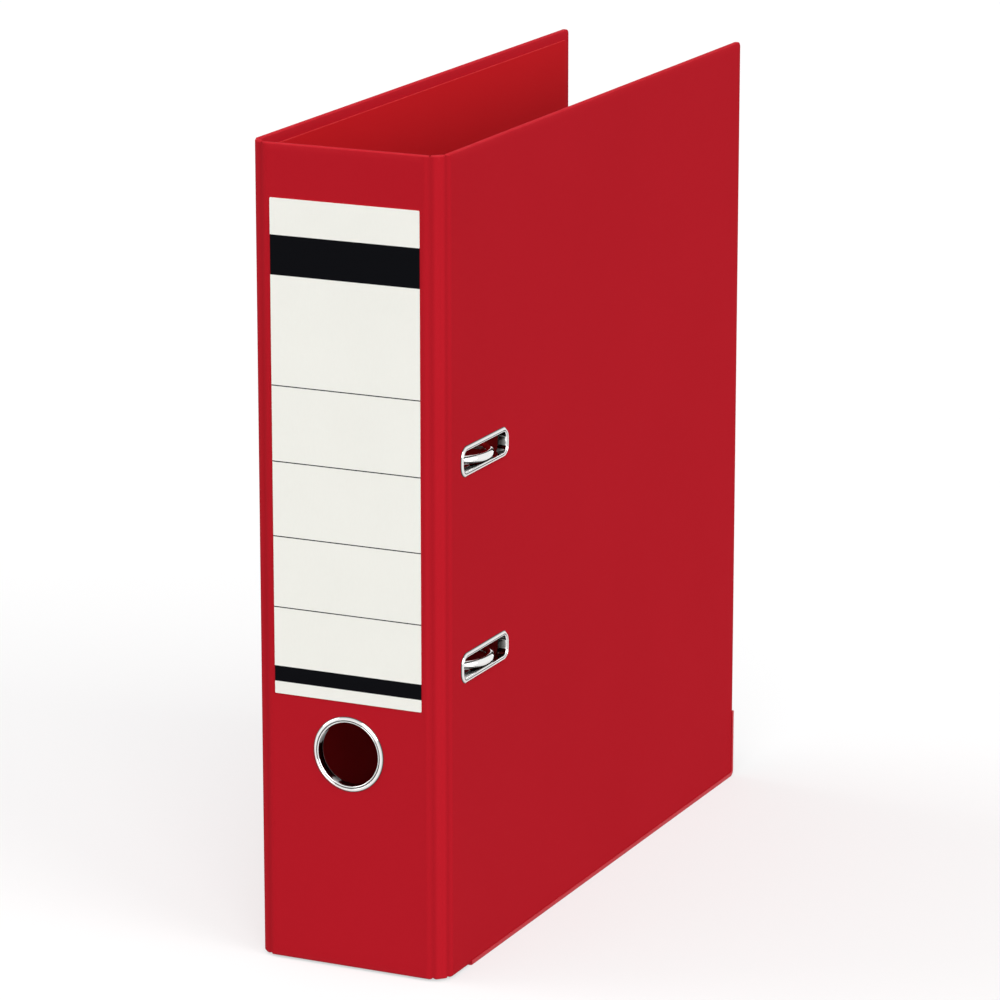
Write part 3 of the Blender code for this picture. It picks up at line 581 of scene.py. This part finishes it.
def slot_outline(name, offset):
    """The slot's opening, widened by an offset."""
    low, high = slot_boxes[name]
    centre = ((low.y + high.y) / 2, (low.z + high.z) / 2)
    grow = 2 * (offset - EYELET_FLANGE)
    return rounded_outline(centre, high.y - low.y + grow, high.z - low.z + grow, SLOT_CORNER + offset)


def ring_prisms():
    """A round prism through the spine for the ring's barrel."""
    hole = circle_outline(ring_centre, bore + BARREL_HOLE)
    return [prism_along("ring_hole", hole, 1, *(spine_face + HOLE_REACH))]


def slot_prisms():
    """Two prisms through the front cover for the eyelets' barrels."""
    return [prism_along(f"{name}_slot", slot_outline(name, BARREL_HOLE), 0, *(front_face + HOLE_REACH))
            for name in slot_boxes]


def rivet_prisms():
    """Four round prisms through the rear cover for the rivets' shanks."""
    return [prism_along(f"{name}_hole", circle_outline(middle(name)[1:], RIVET_HOLE, 24), 0,
                        *(rear_face + HOLE_REACH)) for name in RIVETS]


rear, _, spine, _, front = panels
cut_holes(spine, ring_prisms())
cut_holes(front, slot_prisms())
cut_holes(rear, rivet_prisms())
for piece, (_, body, stands_for) in zip(panels, PANELS):
    dress(piece, body, "red_covering", covering, stands_for)
print("cut and dressed", len(panels), "boards")

# %% [markdown]
# ## Creases
# The paper runs on over every crease, where it dips into the gap between two boards. A thin ribbon bridges
# each gap: a quadratic curve from one face to the other, pressed in at its middle.

# %% Crease ribbons
CREASE_REACH = 3.1 * MM
CREASE_DIP = 0.34 * MM
RIBBON = 0.09 * MM
RIBBON_PROUD = 0.03 * MM
RIBBON_ROWS = 3
CREASE_NAMES = ("rear_outer_crease", "rear_spine_crease", "front_spine_crease", "front_outer_crease")


def crease_ribbon(name, index, steps=33):
    """Curve (1-t)^2 P + 2t(1-t) C + t^2 Q, moved in by dip * sin(pi t)^4, then given a thickness; the dip also
    sets its painted shade.
    """
    t = np.linspace(0, 1, steps)[:, None]
    corner = creases[index]
    start = corner - runs[index] * CREASE_REACH
    end = corner + runs[index + 1] * CREASE_REACH
    into = inward[index] * (1 - t) + inward[index + 1] * t
    into = into / np.linalg.norm(into, axis=1)[:, None]
    curve = (1 - t) ** 2 * start + 2 * t * (1 - t) * corner + t ** 2 * end
    dip = np.sin(np.pi * t) ** 4
    top = curve + into * (CREASE_DIP * dip - RIBBON_PROUD)
    section = np.concatenate([top, (top + into * RIBBON)[::-1]])
    heights = np.linspace(z_low + EDGE_ROUND[0], z_high - EDGE_ROUND[0], RIBBON_ROWS)
    loops = np.concatenate([np.repeat(section[None], RIBBON_ROWS, axis=0),
                            np.repeat(heights[:, None], len(section), axis=1)[..., None]], axis=-1)
    ribbon = loft(name, loops)
    # The dip is also stored as painted shade, so each crease is painted darker towards its middle.
    store(ribbon.data, "pressed", np.tile(np.concatenate([dip, dip]).ravel(), RIBBON_ROWS))
    ribbon.data.materials.append(covering)
    return ribbon, start, end


for index, name in enumerate(CREASE_NAMES):
    ribbon, start, end = crease_ribbon(name, index)
    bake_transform(ribbon)
print("bridged", len(creases), "creases")

# %% [markdown]
# ## Lining
# A sheet of lining paper is glued inside each cover and inside the spine, a few millimetres short of the
# edges. Each is a thin prism whose edge is turned over a little, so that it catches a pale line of light,
# with the same holes as its board. That edge is also painted paler, as a painted highlight.

# %% Lining sheets
LINING_CORNER = 1.2
# Columns: mm drawn in, share of the thickness, and painted highlight, which pales the turned edge.
LINING_LOOPS = ((0.9, 0, 0), (0.4, 0, 0.15), (0.12, 0, 1), (0.0, 0.35, 1), (0.0, 1, 1))


def lined(name, axis, inside, holes, body):
    """The sheet's outline, drawn in by some mm, at each share of its thickness, and how much painted highlight
    it gets.
    """
    low, high = (np.array(corner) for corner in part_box(name))
    others = [k for k in range(3) if k != axis]
    centre, extent = ((low + high) / 2)[others], (high - low)[others]
    face, glue = (high[axis], low[axis]) if inside > 0 else (low[axis], high[axis])
    loops = []
    for drawn, share, _ in LINING_LOOPS:
        outline = rounded_outline(centre, *(extent - 2 * drawn * MM), (LINING_CORNER - drawn) * MM)
        loop = np.zeros((len(outline), 3))
        loop[:, others] = outline
        loop[:, axis] = face + (glue - face) * share
        loops.append(loop)
    wear_and_highlight = np.repeat(np.array(LINING_LOOPS)[:, 2:], len(loops[0]), axis=1)
    sheet = loft(name + "_pasted", np.stack(loops), edge=wear_and_highlight)
    cut_holes(sheet, holes)
    dress(sheet, body, "red_lining", lining, name)


lined("rear_cover_liner", 0, 1, rivet_prisms(), "rear_cover")
lined("spine_liner", 1, 1, ring_prisms(), "spine")
lined("front_cover_liner", 0, -1, slot_prisms(), "front_cover")
print("lined three panels")

# %% [markdown]
# ## Spine label
# The label is a printed paper sticker: a black bar near the top, four thin ruled lines for the title and a
# narrow black bar at the foot. The bars are left without words. The print is drawn by comparing the height
# of each point with the height of a bar or line, so it needs no picture.

# %% Label finish
BLACK_BARS = ((276.0, 15.2), (114.35, 6.1))
RULED_LINES = (226.3, 197.1, 168.1, 140.5)
LINE_WIDTH = 0.42
LABEL_CORNER = 0.4 * MM
INK = ((0.0012, 0.0013, 0.0022), (0.002, 0.0022, 0.0035))
PAPER = ((0.815, 0.81, 0.755), (0.875, 0.87, 0.815))


def label_finish():
    """White paper; ink where the height lies within half a bar or line of its middle."""
    finish, tree, shader = new_finish("label_paper", Specular_IOR_Level=0.05)
    place = node(tree, "ShaderNodeTexCoord")
    split = node(tree, "ShaderNodeSeparateXYZ")
    tree.links.new(place.outputs["Object"], split.inputs["Vector"])
    ink = None
    for at, tall in (*BLACK_BARS, *((line, LINE_WIDTH) for line in RULED_LINES)):
        mark = math_node(tree, "COMPARE", split.outputs["Z"], at * MM, tall / 2 * MM)
        ink = mark if ink is None else math_node(tree, "MAXIMUM", ink, mark)
    grain = place_group(tree, paper_grain, Fibre_scale=1300, Cloud_scale=40)
    paper = mix_colour(tree, grain.outputs["Tone"], *PAPER)
    print_ink = mix_colour(tree, grain.outputs["Height"], *INK)
    tree.links.new(mix_colour(tree, ink, paper, print_ink), shader.inputs["Base Color"])
    tree.links.new(span(tree, grain.outputs["Height"], 0.65, 0.8), shader.inputs["Roughness"])
    bump(tree, shader, grain.outputs["Height"], 0.2, 0.00005)
    return finish


label_low, label_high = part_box("spine_label")
centre = ((label_low.x + label_high.x) / 2, (label_low.z + label_high.z) / 2)
outline = rounded_outline(centre, label_high.x - label_low.x, label_high.z - label_low.z, LABEL_CORNER)
label = prism_along("printed_label", outline, 1, label_low.y, label_high.y)
dress(label, "spine", "label_paper", label_finish(), "spine_label")
print("label of", np.round((label_high - label_low) / MM, 1), "mm")

# %% [markdown]
# ## Rolled metal rims
# The finger ring and the slot eyelets are pressed from thin sheet: a rolled rim lies on the board, a barrel
# goes through it and a flat collar closes it inside. One profile of offset and depth is carried round the
# opening's outline, and a smooth curve through a few points gives the roll its double highlight. The groove,
# the outer foot, the underside and the barrel get nearly black painted shade.

# %% Smooth profiles
def smooth_loop(points, per=5):
    """A closed Catmull-Rom curve: each stretch is the cubic through two points, aimed by their neighbours."""
    points = np.asarray(points, float)
    t = np.linspace(0, 1, per, endpoint=False)[None, :, None]
    a, b, c, d = (np.roll(points, shift, axis=0)[:, None, :] for shift in (1, 0, -1, -2))
    curve = b + 0.5 * t * (c - a + t * (2 * a - 5 * b + 4 * c - d + t * (3 * (b - c) + d - a)))
    return curve.reshape(-1, 2)


def rim(name, outline_at, profile, place, pressed):
    """A closed ring: the outline at each point of the smoothed profile, put at that point's depth, with that
    point's painted shade stored for the finish.
    """
    curve = smooth_loop(profile)
    loops = np.stack([place(outline_at(offset), depth) for offset, depth in curve])
    made = loft(name, loops, ring=True)
    at = np.arange(len(curve)) * len(profile) / len(curve)
    tone = np.interp(at, np.arange(len(profile) + 1), [*pressed, pressed[0]])
    store(made.data, "pressed", np.repeat(tone[:, None], loops.shape[1], axis=1))
    return made

# %% Rim profiles
BARREL = 0.5 * MM
LINED = 2.6 * MM
COLLAR = 0.6 * MM
COLLAR_WIDER = 1.0 * MM
SEAT = 0.1 * MM
PROUD = 0.8 * MM
LIP_START = 0.3 * MM
RIM_ROLL = ((0.01, -0.25), (0.06, -0.58), (0.15, -0.74), (0.24, -0.64), (0.31, -0.42), (0.38, -0.6),
            (0.45, -0.9), (0.53, -0.98), (0.64, -0.86), (0.8, -0.58), (0.93, -0.32), (1.0, -0.2))
# How much painted shade each profile point gets, from 0 to 1: most in the barrel, the groove, the outer foot
# and under the flange, and on the collar at its inner edge and underside.
RIM_PAINTED_SHADE = (0.95, 0.95, 0.7, 0.1, 0, 0, 0.5, 1, 0.5, 0, 0, 0, 0.12, 0.85, 1, 1, 1, 1, 1, 1, 1)
COLLAR_PAINTED_SHADE = (0.9, 0.3, 0, 0, 0, 0.2, 0.8, 0.9)


def rim_profile(flange):
    """Up the barrel, over bead, groove, shoulder and outer slope, then back under the flange and down."""
    end = LINED + SEAT + COLLAR
    roll = np.array(RIM_ROLL) * (flange, PROUD)
    return np.array([
        (0, end), (0, end * 0.6), (0, LIP_START), *roll, (0.97 * flange, -SEAT), (0.6 * flange, -SEAT),
        (BARREL + SEAT, -SEAT), (BARREL, SEAT), (BARREL, end * 0.6), (BARREL, end)])


def collar_profile(flange):
    """A flat washer round the barrel, rounded at its outer edge."""
    wide = flange + COLLAR_WIDER
    low = LINED + SEAT
    top = low + COLLAR
    return np.array([
        (BARREL + SEAT, low), (BARREL + SEAT, low + COLLAR * 0.8), (BARREL + 2 * SEAT, top),
        (wide * 0.6, top), (wide - COLLAR * 0.6, low + COLLAR * 0.95), (wide, low + COLLAR * 0.5),
        (wide, low), (wide * 0.6, low)])

# %% Finger ring
def ring_at(offset):
    """The bore's circle, widened by an offset."""
    return circle_outline(ring_centre, bore + offset, 96)


def on_spine(outline, depth):
    """Puts an outline of X and Z at a depth below the spine's face."""
    return np.stack([outline[:, 0], np.full(len(outline), spine_face + depth), outline[:, 1]], axis=1)


ring = rim("finger_ring_rolled", ring_at, rim_profile(RING_FLANGE), on_spine, RIM_PAINTED_SHADE)
dress(ring, "spine", "chrome_plate", chrome, "finger_ring")
ring_collar = rim("finger_ring_back", ring_at, collar_profile(RING_FLANGE), on_spine, COLLAR_PAINTED_SHADE)
dress(ring_collar, "spine", "chrome_plate", chrome, "finger_ring_collar")
print("finger ring bore in mm:", round(2 * bore / MM, 1))

# %% Slot eyelets
def on_front(outline, depth):
    """Puts an outline of Y and Z at a depth below the front cover's face."""
    return np.stack([np.full(len(outline), front_face - depth), outline[:, 0], outline[:, 1]], axis=1)


for name in slot_boxes:
    slot_at = partial(slot_outline, name)
    eyelet = rim(f"{name}_eyelet_rolled", slot_at, rim_profile(EYELET_FLANGE), on_front, RIM_PAINTED_SHADE)
    dress(eyelet, "front_cover", "chrome_plate", chrome, f"{name}_slot_eyelet")
    collar = rim(f"{name}_eyelet_back", slot_at, collar_profile(EYELET_FLANGE), on_front, COLLAR_PAINTED_SHADE)
    dress(collar, "front_cover", "chrome_plate", chrome, f"{name}_slot_collar")
heights = [round((low.z + high.z) / 2 / MM, 1) for low, high in slot_boxes.values()]
print("two eyelets at heights", heights)

# %% [markdown]
# ## Edge rails
# A thin lacquered channel protects the bottom edge of each cover and turns up round its lower corner. Its
# section is a U with rounded outside corners. It is carried along the board's edge: straight, round a quarter
# circle, and straight up.

# %% Rails
RAIL_BASE = 0.9 * MM
RAIL_WALL = 1.55 * MM
RAIL_GROOVE = 1.2 * MM
RAIL_GRIP = 1.0 * MM
RAIL_ROUND = 0.5 * MM
RAIL_NICK = 0.08 * MM
RAIL_SEAT = 0.1 * MM


def rail_section():
    """The U as (across, outwards) points, quarter circles at both outside corners, and how much painted
    highlight each gets.
    """
    turn = np.linspace(0, np.pi / 2, 7)
    right = np.stack([RAIL_WALL - RAIL_ROUND + RAIL_ROUND * np.cos(turn),
                      RAIL_BASE - RAIL_ROUND + RAIL_ROUND * np.sin(turn)], axis=1)
    left = right[::-1] * (-1, 1)
    lip = np.array([
        (-RAIL_WALL, RAIL_NICK - RAIL_GRIP), (RAIL_NICK - RAIL_WALL, -RAIL_GRIP),
        (-RAIL_GROOVE - RAIL_NICK, -RAIL_GRIP), (-RAIL_GROOVE, RAIL_NICK - RAIL_GRIP),
        (-RAIL_GROOVE, RAIL_SEAT)])
    # Painted highlight on the rounded outside corners; the lips get none.
    wear_and_highlight = np.concatenate([np.sin(2 * turn), np.sin(2 * turn), np.zeros(2 * len(lip))])
    return np.concatenate([right, left, lip, lip[::-1] * (-1, 1)]), wear_and_highlight


def rail(name, across, start, top):
    """Places the section at each point of the edge: edge + outwards * normal, at its distance across."""
    turn = np.linspace(-np.pi / 2, 0, 9)
    normal = np.stack([np.cos(turn), np.sin(turn)], axis=1)
    corner = np.array([front_high.y - COVER_CORNER, z_low + COVER_CORNER])
    bend = corner + COVER_CORNER * normal
    edge = np.concatenate([[(start, z_low)], bend, [(front_high.y, top)]])
    normal = np.concatenate([normal[:1], normal, normal[-1:]])
    section, wear_and_highlight = rail_section()
    plane = edge[:, None, :] + section[None, :, 1:] * normal[:, None, :]
    sideways = np.broadcast_to(across + section[None, :, :1], plane.shape[:2] + (1,))
    loops = np.concatenate([sideways, plane], axis=-1)
    return loft(name, loops, edge=np.tile(wear_and_highlight, (len(edge), 1)))


for name, body, face in (("front_edge_rail", "front_cover", front_face - BOARD / 2),
                         ("rear_edge_rail", "rear_cover", rear_face + BOARD / 2)):
    low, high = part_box(name)
    dress(rail(name + "_lacquered", face, low.y, high.z), body, "red_lacquer", lacquer, name)
    print(name, "from", np.round(np.array(low) / MM, 1), "to", np.round(np.array(high) / MM, 1))

# %% [markdown]
# ## Arches
# Both arches, the shaft they turn on and the crank are one bent wire. Its path is a list of corners, each
# rounded by an arc, and a circle is carried along it. Each circle's frame is the last one turned by the
# least amount, which keeps the wire from twisting.

# %% Wire path
WIRE = 1.7 * MM
WIRE_BENDS = [bend * MM for bend in (12.4, 12.4, 5, 2.5, 2.5)]
CROWN_DEPTH = 0.95 * MM
CROWN_SPAN = 25.0 * MM
CRANK = np.array([13.0, 9.0]) * MM
TIP = np.array([47.253, 48.234]) * MM
plate_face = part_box("base_plate")[0].x
shaft = np.array(joints["arch_swing"]["pos_m"])
posts = {name: middle(f"{name}_post") for name in ("upper", "lower")}


def rounded_path(corners, radii, steps=12):
    """Each corner becomes an arc tangent to both of its sides, swept from one tangent point to the other."""
    corners, radii = np.asarray(corners), np.asarray(radii)[:, None]
    back = corners[:-2] - corners[1:-1]
    ahead = corners[2:] - corners[1:-1]
    back = back / np.linalg.norm(back, axis=1)[:, None]
    ahead = ahead / np.linalg.norm(ahead, axis=1)[:, None]
    half = np.arccos(np.clip((back * ahead).sum(1), -1, 1))[:, None] / 2
    reach = radii / np.tan(half)
    between = back + ahead
    between = between / np.linalg.norm(between, axis=1)[:, None]
    centre = corners[1:-1] + between * radii / np.sin(half)
    start = corners[1:-1] + back * reach - centre
    end = corners[1:-1] + ahead * reach - centre
    swing = np.pi - 2 * half
    t = np.linspace(0, 1, steps)[None, :, None]
    arcs = np.sin((1 - t) * swing[:, None]) * start[:, None] + np.sin(t * swing[:, None]) * end[:, None]
    arcs = centre[:, None] + arcs / np.sin(swing)[:, None]
    return np.concatenate([corners[:1], arcs.reshape(-1, 3), corners[-1:]])


def arch_corners(post, side):
    """From the tip on a post, over the crown and down to the shaft, then out along the crank."""
    crown = front_face - CROWN_DEPTH
    y, z = post[1:]
    shaft_x, shaft_y, shaft_z = shaft
    crank_z = shaft_z + side * CRANK[1]
    return [(plate_face + TIP[1], y, z), (crown, y, z), (crown, y - CROWN_SPAN, z), (shaft_x, shaft_y, z),
            (shaft_x, shaft_y, crank_z), (shaft_x, shaft_y + CRANK[0], crank_z)]


corners = arch_corners(posts["upper"], 1) + arch_corners(posts["lower"], -1)[::-1]
wire_path = rounded_path(corners, WIRE_BENDS + WIRE_BENDS[::-1])
print("wire length in mm:", round(np.linalg.norm(np.diff(wire_path, axis=0), axis=1).sum() / MM))

# %% Wire
TIP_ROUND = 0.12 * MM
TIP_SHARES = (0.1, 0.94)
FIRST_SIDE = (0.3, 0.5, 0.8)


def tube(name, path, radii, sides=20):
    """Circles across the path; each frame is the one before, less its part along the new direction."""
    along = np.gradient(path, axis=0)
    along = along / np.linalg.norm(along, axis=1)[:, None]
    side = np.cross(along[0], FIRST_SIDE)
    sides_at = []
    for direction in along:
        side = side - direction * (side @ direction)
        side = side / np.linalg.norm(side)
        sides_at.append(side)
    first = np.array(sides_at)
    second = np.cross(along, first)
    turn = np.linspace(0, 2 * np.pi, sides, endpoint=False)[None, :, None]
    circles = first[:, None] * np.cos(turn) + second[:, None] * np.sin(turn)
    return loft(name, path[:, None] + radii[:, None, None] * circles)


tips = [np.array([plate_face + TIP[0], *place[1:]]) for place in posts.values()]
rounding = (TIP_ROUND, 0, 0)
path = np.concatenate([[tips[0]], [wire_path[0]], [wire_path[0] + rounding], wire_path[1:-1],
                       [wire_path[-1] + rounding], [wire_path[-1]], [tips[1]]])
shares = np.ones(len(path))
shares[:2] = TIP_SHARES
shares[-2:] = TIP_SHARES[::-1]
dress(tube("arch_wire", path, WIRE * shares), "arches", "chrome_plate", chrome, "arch_bail")
print("wire points:", len(path))

# %% [markdown]
# ## Turned pieces
# Posts, rivets, pins, roller and bushes are round. Each is a profile of radius and place along the axis, in
# millimetres, turned once round: solid pieces are capped at both ends, and hollow ones close on themselves.

# %% Turned shapes
def turned(name, profile, centre, axis, ring=False, steps=48):
    """Circles of the profile's radii about an axis through the centre, each at its place along that axis."""
    others = [k for k in range(3) if k != axis]
    profile = np.asarray(profile) * MM
    turn = np.linspace(0, 2 * np.pi, steps, endpoint=False)
    loops = np.zeros((len(profile), steps, 3))
    loops[..., others[0]] = centre[others[0]] + profile[:, :1] * np.cos(turn)
    loops[..., others[1]] = centre[others[1]] + profile[:, :1] * np.sin(turn)
    loops[..., axis] = centre[axis] + profile[:, 1:]
    return loft(name, loops, ring=ring)


POST_PROFILE = [
    (1.6, 0.1), (1.6, 1.3), (4.2, 1.3), (4.25, 1.4), (4.25, 1.9), (4.1, 2.15), (3.2, 2.4), (2.5, 2.6),
    (2.25, 3.0), (2.2, 3.6), (2.2, 47.6), (2.14, 47.85), (2.02, 47.97), (1.9, 48.0), (0.19, 47.013)]
RIVET_PROFILE = [
    (0.4, -0.8), (1.5, -0.77), (2.8, -0.66), (3.8, -0.45), (4.35, -0.25), (4.5, -0.16), (4.4, -0.1),
    (2.0, -0.1), (2.0, 4.0), (3.2, 4.0), (3.3, 4.1), (3.28, 4.3), (3.0, 4.6), (2.5, 4.78), (2.0, 4.74),
    (1.5, 4.5), (1.2, 4.1), (1.1, 3.4), (0.2, 3.3)]
for name, place in posts.items():
    post = turned(f"{name}_post_turned", POST_PROFILE, (plate_face, *place[1:]), 0)
    dress(post, "rear_cover", "chrome_plate", chrome, f"{name}_post")
for name in RIVETS:
    head = turned(name + "_rolled", RIVET_PROFILE, (rear_face, *middle(name)[1:]), 0, steps=36)
    dress(head, "rear_cover", "nickel_steel", nickel, name)
print("turned", len(posts), "posts and", len(RIVETS), "rivets")

# %% Pins, roller and bushes
PIN_PROFILE = [
    (0.9, -8.5), (1.9, -8.35), (2.4, -8.0), (2.5, -7.75), (2.45, -7.6), (1.5, -7.6),
    (1.5, 7.6), (2.45, 7.6), (2.5, 7.75), (2.4, 8.0), (1.9, 8.35), (0.9, 8.5)]
ROLLER_PIN_PROFILE = [(0.7, -6.0), (1.05, -5.9), (1.2, -5.7), (1.2, 5.7), (1.05, 5.9), (0.7, 6.0)]
ROLLER_PROFILE = [
    (1.35, -4.5), (1.5, -4.7), (2.7, -4.7), (2.9, -4.6), (3.0, -4.4),
    (3.0, 4.4), (2.9, 4.6), (2.7, 4.7), (1.5, 4.7), (1.35, 4.5)]
BUSH_PROFILE = [
    (2.35, 0.2), (2.5, 0.0), (4.3, 0.0), (4.5, 0.15), (4.5, 0.85), (4.35, 1.0), (3.8, 1.0), (3.8, 5.5),
    (3.65, 5.85), (3.4, 6.0), (2.5, 6.0), (2.35, 5.8)]
SPRING_RIVET_PROFILE = [
    (1.1, 0.1), (1.1, 2.0), (2.1, 2.0), (2.2, 2.1), (2.2, 2.35), (2.0, 2.6), (1.5, 2.76), (0.6, 2.8)]
lever_pin = turned("lever_pin_turned", PIN_PROFILE, middle("lever_pin"), 2)
dress(lever_pin, "rear_cover", "chrome_plate", chrome, "lever_pin")
roller_pin = turned("roller_pin_turned", ROLLER_PIN_PROFILE, middle("roller_pin"), 2)
dress(roller_pin, "lever", "chrome_plate", chrome, "roller_pin")
roller = turned("roller_turned", ROLLER_PROFILE, middle("lever_roller"), 2, ring=True)
dress(roller, "roller", "black_plastic", plastic, "lever_roller")
for name, place in posts.items():
    low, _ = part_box(f"{name}_compressor_bush")
    bush = turned(f"{name}_bush_turned", BUSH_PROFILE, (low.x, *place[1:]), 0, ring=True)
    dress(bush, "compressor", "black_plastic", plastic, f"{name}_compressor_bush")
spring_rivet_at = (plate_face, *middle("spring_rivet")[1:])
spring_rivet = turned("spring_rivet_turned", SPRING_RIVET_PROFILE, spring_rivet_at, 0)
dress(spring_rivet, "rear_cover", "nickel_steel", nickel, "spring_rivet")
print("turned the pins, the roller and the bushes")

# %% [markdown]
# ## Pressed sheet
# The base plate, the lever, the spring and the compressor bar are pressed from sheet, so their cut edges are
# broken, not sharp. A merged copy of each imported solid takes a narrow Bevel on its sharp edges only, and the
# bevel's faces share the light with the flats beside them.

# %% Soften the pressed pieces
MERGE_WITHIN = 0.005 * MM
FLAT_WITHIN = math.radians(0.5)
BEVEL_FROM = math.radians(35)
PRESSED_PIECES = (("base_plate", "rear_cover", 0.25), ("leaf_spring", "rear_cover", 0.12),
                  ("lever", "lever", 0.2), ("compressor_bar", "compressor", 0.2))


def softened(name, width):
    """A copy of a node with doubles merged and flat faces joined, bevelled along its sharp edges."""
    mesh = nodes[name].data.copy()
    shell = bmesh.new()
    shell.from_mesh(mesh)
    bmesh.ops.remove_doubles(shell, verts=shell.verts, dist=MERGE_WITHIN)
    bmesh.ops.dissolve_limit(shell, angle_limit=FLAT_WITHIN, verts=shell.verts, edges=shell.edges)
    shell.to_mesh(mesh)
    shell.free()
    mesh.shade_smooth()
    piece = bpy.data.objects.new(name + "_pressed", mesh)
    bpy.context.collection.objects.link(piece)
    step = piece.modifiers.new("broken_edges", "BEVEL")
    step.width = width
    step.segments = 2
    step.limit_method = "ANGLE"
    step.angle_limit = BEVEL_FROM
    step.harden_normals = True
    return piece


for name, body, width in PRESSED_PIECES:
    dress(softened(name, width * MM), body, "nickel_steel", nickel, name)
print("softened", len(PRESSED_PIECES), "pressed pieces")

# %% [markdown]
# ## Studio
# The photograph has plain white behind the file. Its light comes from in front and from above, so that both
# outer faces look alike, and the inside, open only at the top and the fore-edge, falls dark. Here three soft
# lamps and a sky that is dim behind the file do the same. The camera, mirrors and glass see the sky and the
# floor as white, and the floor still takes the file's shadow.

# %% Floor
FLOOR_HALF = 20.0
FLOOR_LIGHTING = 0.18
FLOOR_SEEN = 0.40
FLOOR_GLOW = 0.53


def seen_rays(tree):
    """1 for rays from the camera, from mirrors and through glass, 0 for the rays that light things."""
    path = node(tree, "ShaderNodeLightPath").outputs
    mirrored = math_node(tree, "MAXIMUM", path["Is Glossy Ray"], path["Is Transmission Ray"])
    return math_node(tree, "MAXIMUM", path["Is Camera Ray"], mirrored)


def floor_finish():
    """Matt grey that takes the shadow, darker for rays that light things, with a glow for seen rays."""
    finish, tree, shader = new_finish("pale_floor", Specular_IOR_Level=0.0, Roughness=1.0,
                                      Emission_Color=(1, 1, 1, 1))
    seen = seen_rays(tree)
    grey = mix_colour(tree, seen, (FLOOR_LIGHTING,) * 3, (FLOOR_SEEN,) * 3)
    tree.links.new(grey, shader.inputs["Base Color"])
    tree.links.new(math_node(tree, "MULTIPLY", seen, FLOOR_GLOW), shader.inputs["Emission Strength"])
    return finish


ends = np.array([(-1, -1, 0), (1, -1, 0), (1, 1, 0), (-1, 1, 0)]) * FLOOR_HALF
floor = add_mesh("floor", ends, np.array([[0, 1, 2, 3]]))
floor.data.materials.append(floor_finish())
print("floor of", 2 * FLOOR_HALF, "m")

# %% Sky
SKY_FRONT = 0.92
SKY_BEHIND = 0.06
DIM_FROM_Y = (0.05, 0.45)
DIM_BELOW_Z = (0.95, 0.6)
world = bpy.data.worlds.new("studio")
world.use_nodes = True
bpy.context.scene.world = world
sky = world.node_tree


def smooth_step(tree, value, start, end):
    """0 before start, 1 after end, and a soft rise between them."""
    made = node(tree, "ShaderNodeMapRange", {"interpolation_type": "SMOOTHSTEP"},
                From_Min=start, From_Max=end)
    tree.links.new(value, made.inputs["Value"])
    return made.outputs["Result"]


def sky_strength():
    """Seen rays get 1. Light is SKY_FRONT, falling to SKY_BEHIND low down behind the file."""
    place = node(sky, "ShaderNodeTexCoord")
    split = node(sky, "ShaderNodeSeparateXYZ")
    sky.links.new(place.outputs["Generated"], split.inputs["Vector"])
    behind = math_node(sky, "MULTIPLY", smooth_step(sky, split.outputs["Y"], *DIM_FROM_Y),
                       smooth_step(sky, split.outputs["Z"], *DIM_BELOW_Z))
    light = span(sky, behind, SKY_FRONT, SKY_BEHIND)
    seen = seen_rays(sky)
    unseen = math_node(sky, "SUBTRACT", 1.0, seen)
    return math_node(sky, "ADD", seen, math_node(sky, "MULTIPLY", light, unseen))


background = sky.nodes["Background"]
background.inputs["Color"].default_value = (1, 1, 1, 1)
sky.links.new(sky_strength(), background.inputs["Strength"])
print("sky", SKY_FRONT, "in front and", SKY_BEHIND, "behind")

# %% Lamps
LAMPS = {"key": ((-0.35, 0.75, -0.55), 1.25),
         "fill": ((-0.9, 0.2, -0.4), 1.42),
         "side": ((0.8, 0.15, -0.5), 0.9)}
LAMP_ANGLE = math.radians(40)


def sun(name, towards, strength):
    """A distant lamp with soft edges; towards is the direction that its light travels."""
    data = bpy.data.lights.new(name, "SUN")
    data.angle = LAMP_ANGLE
    data.energy = strength
    made = bpy.data.objects.new(name, data)
    made.rotation_euler = Vector(towards).to_track_quat("-Z", "Y").to_euler()
    bpy.context.collection.objects.link(made)


for name, (towards, strength) in LAMPS.items():
    sun(name, towards, strength)
print("lit by", sorted(LAMPS))
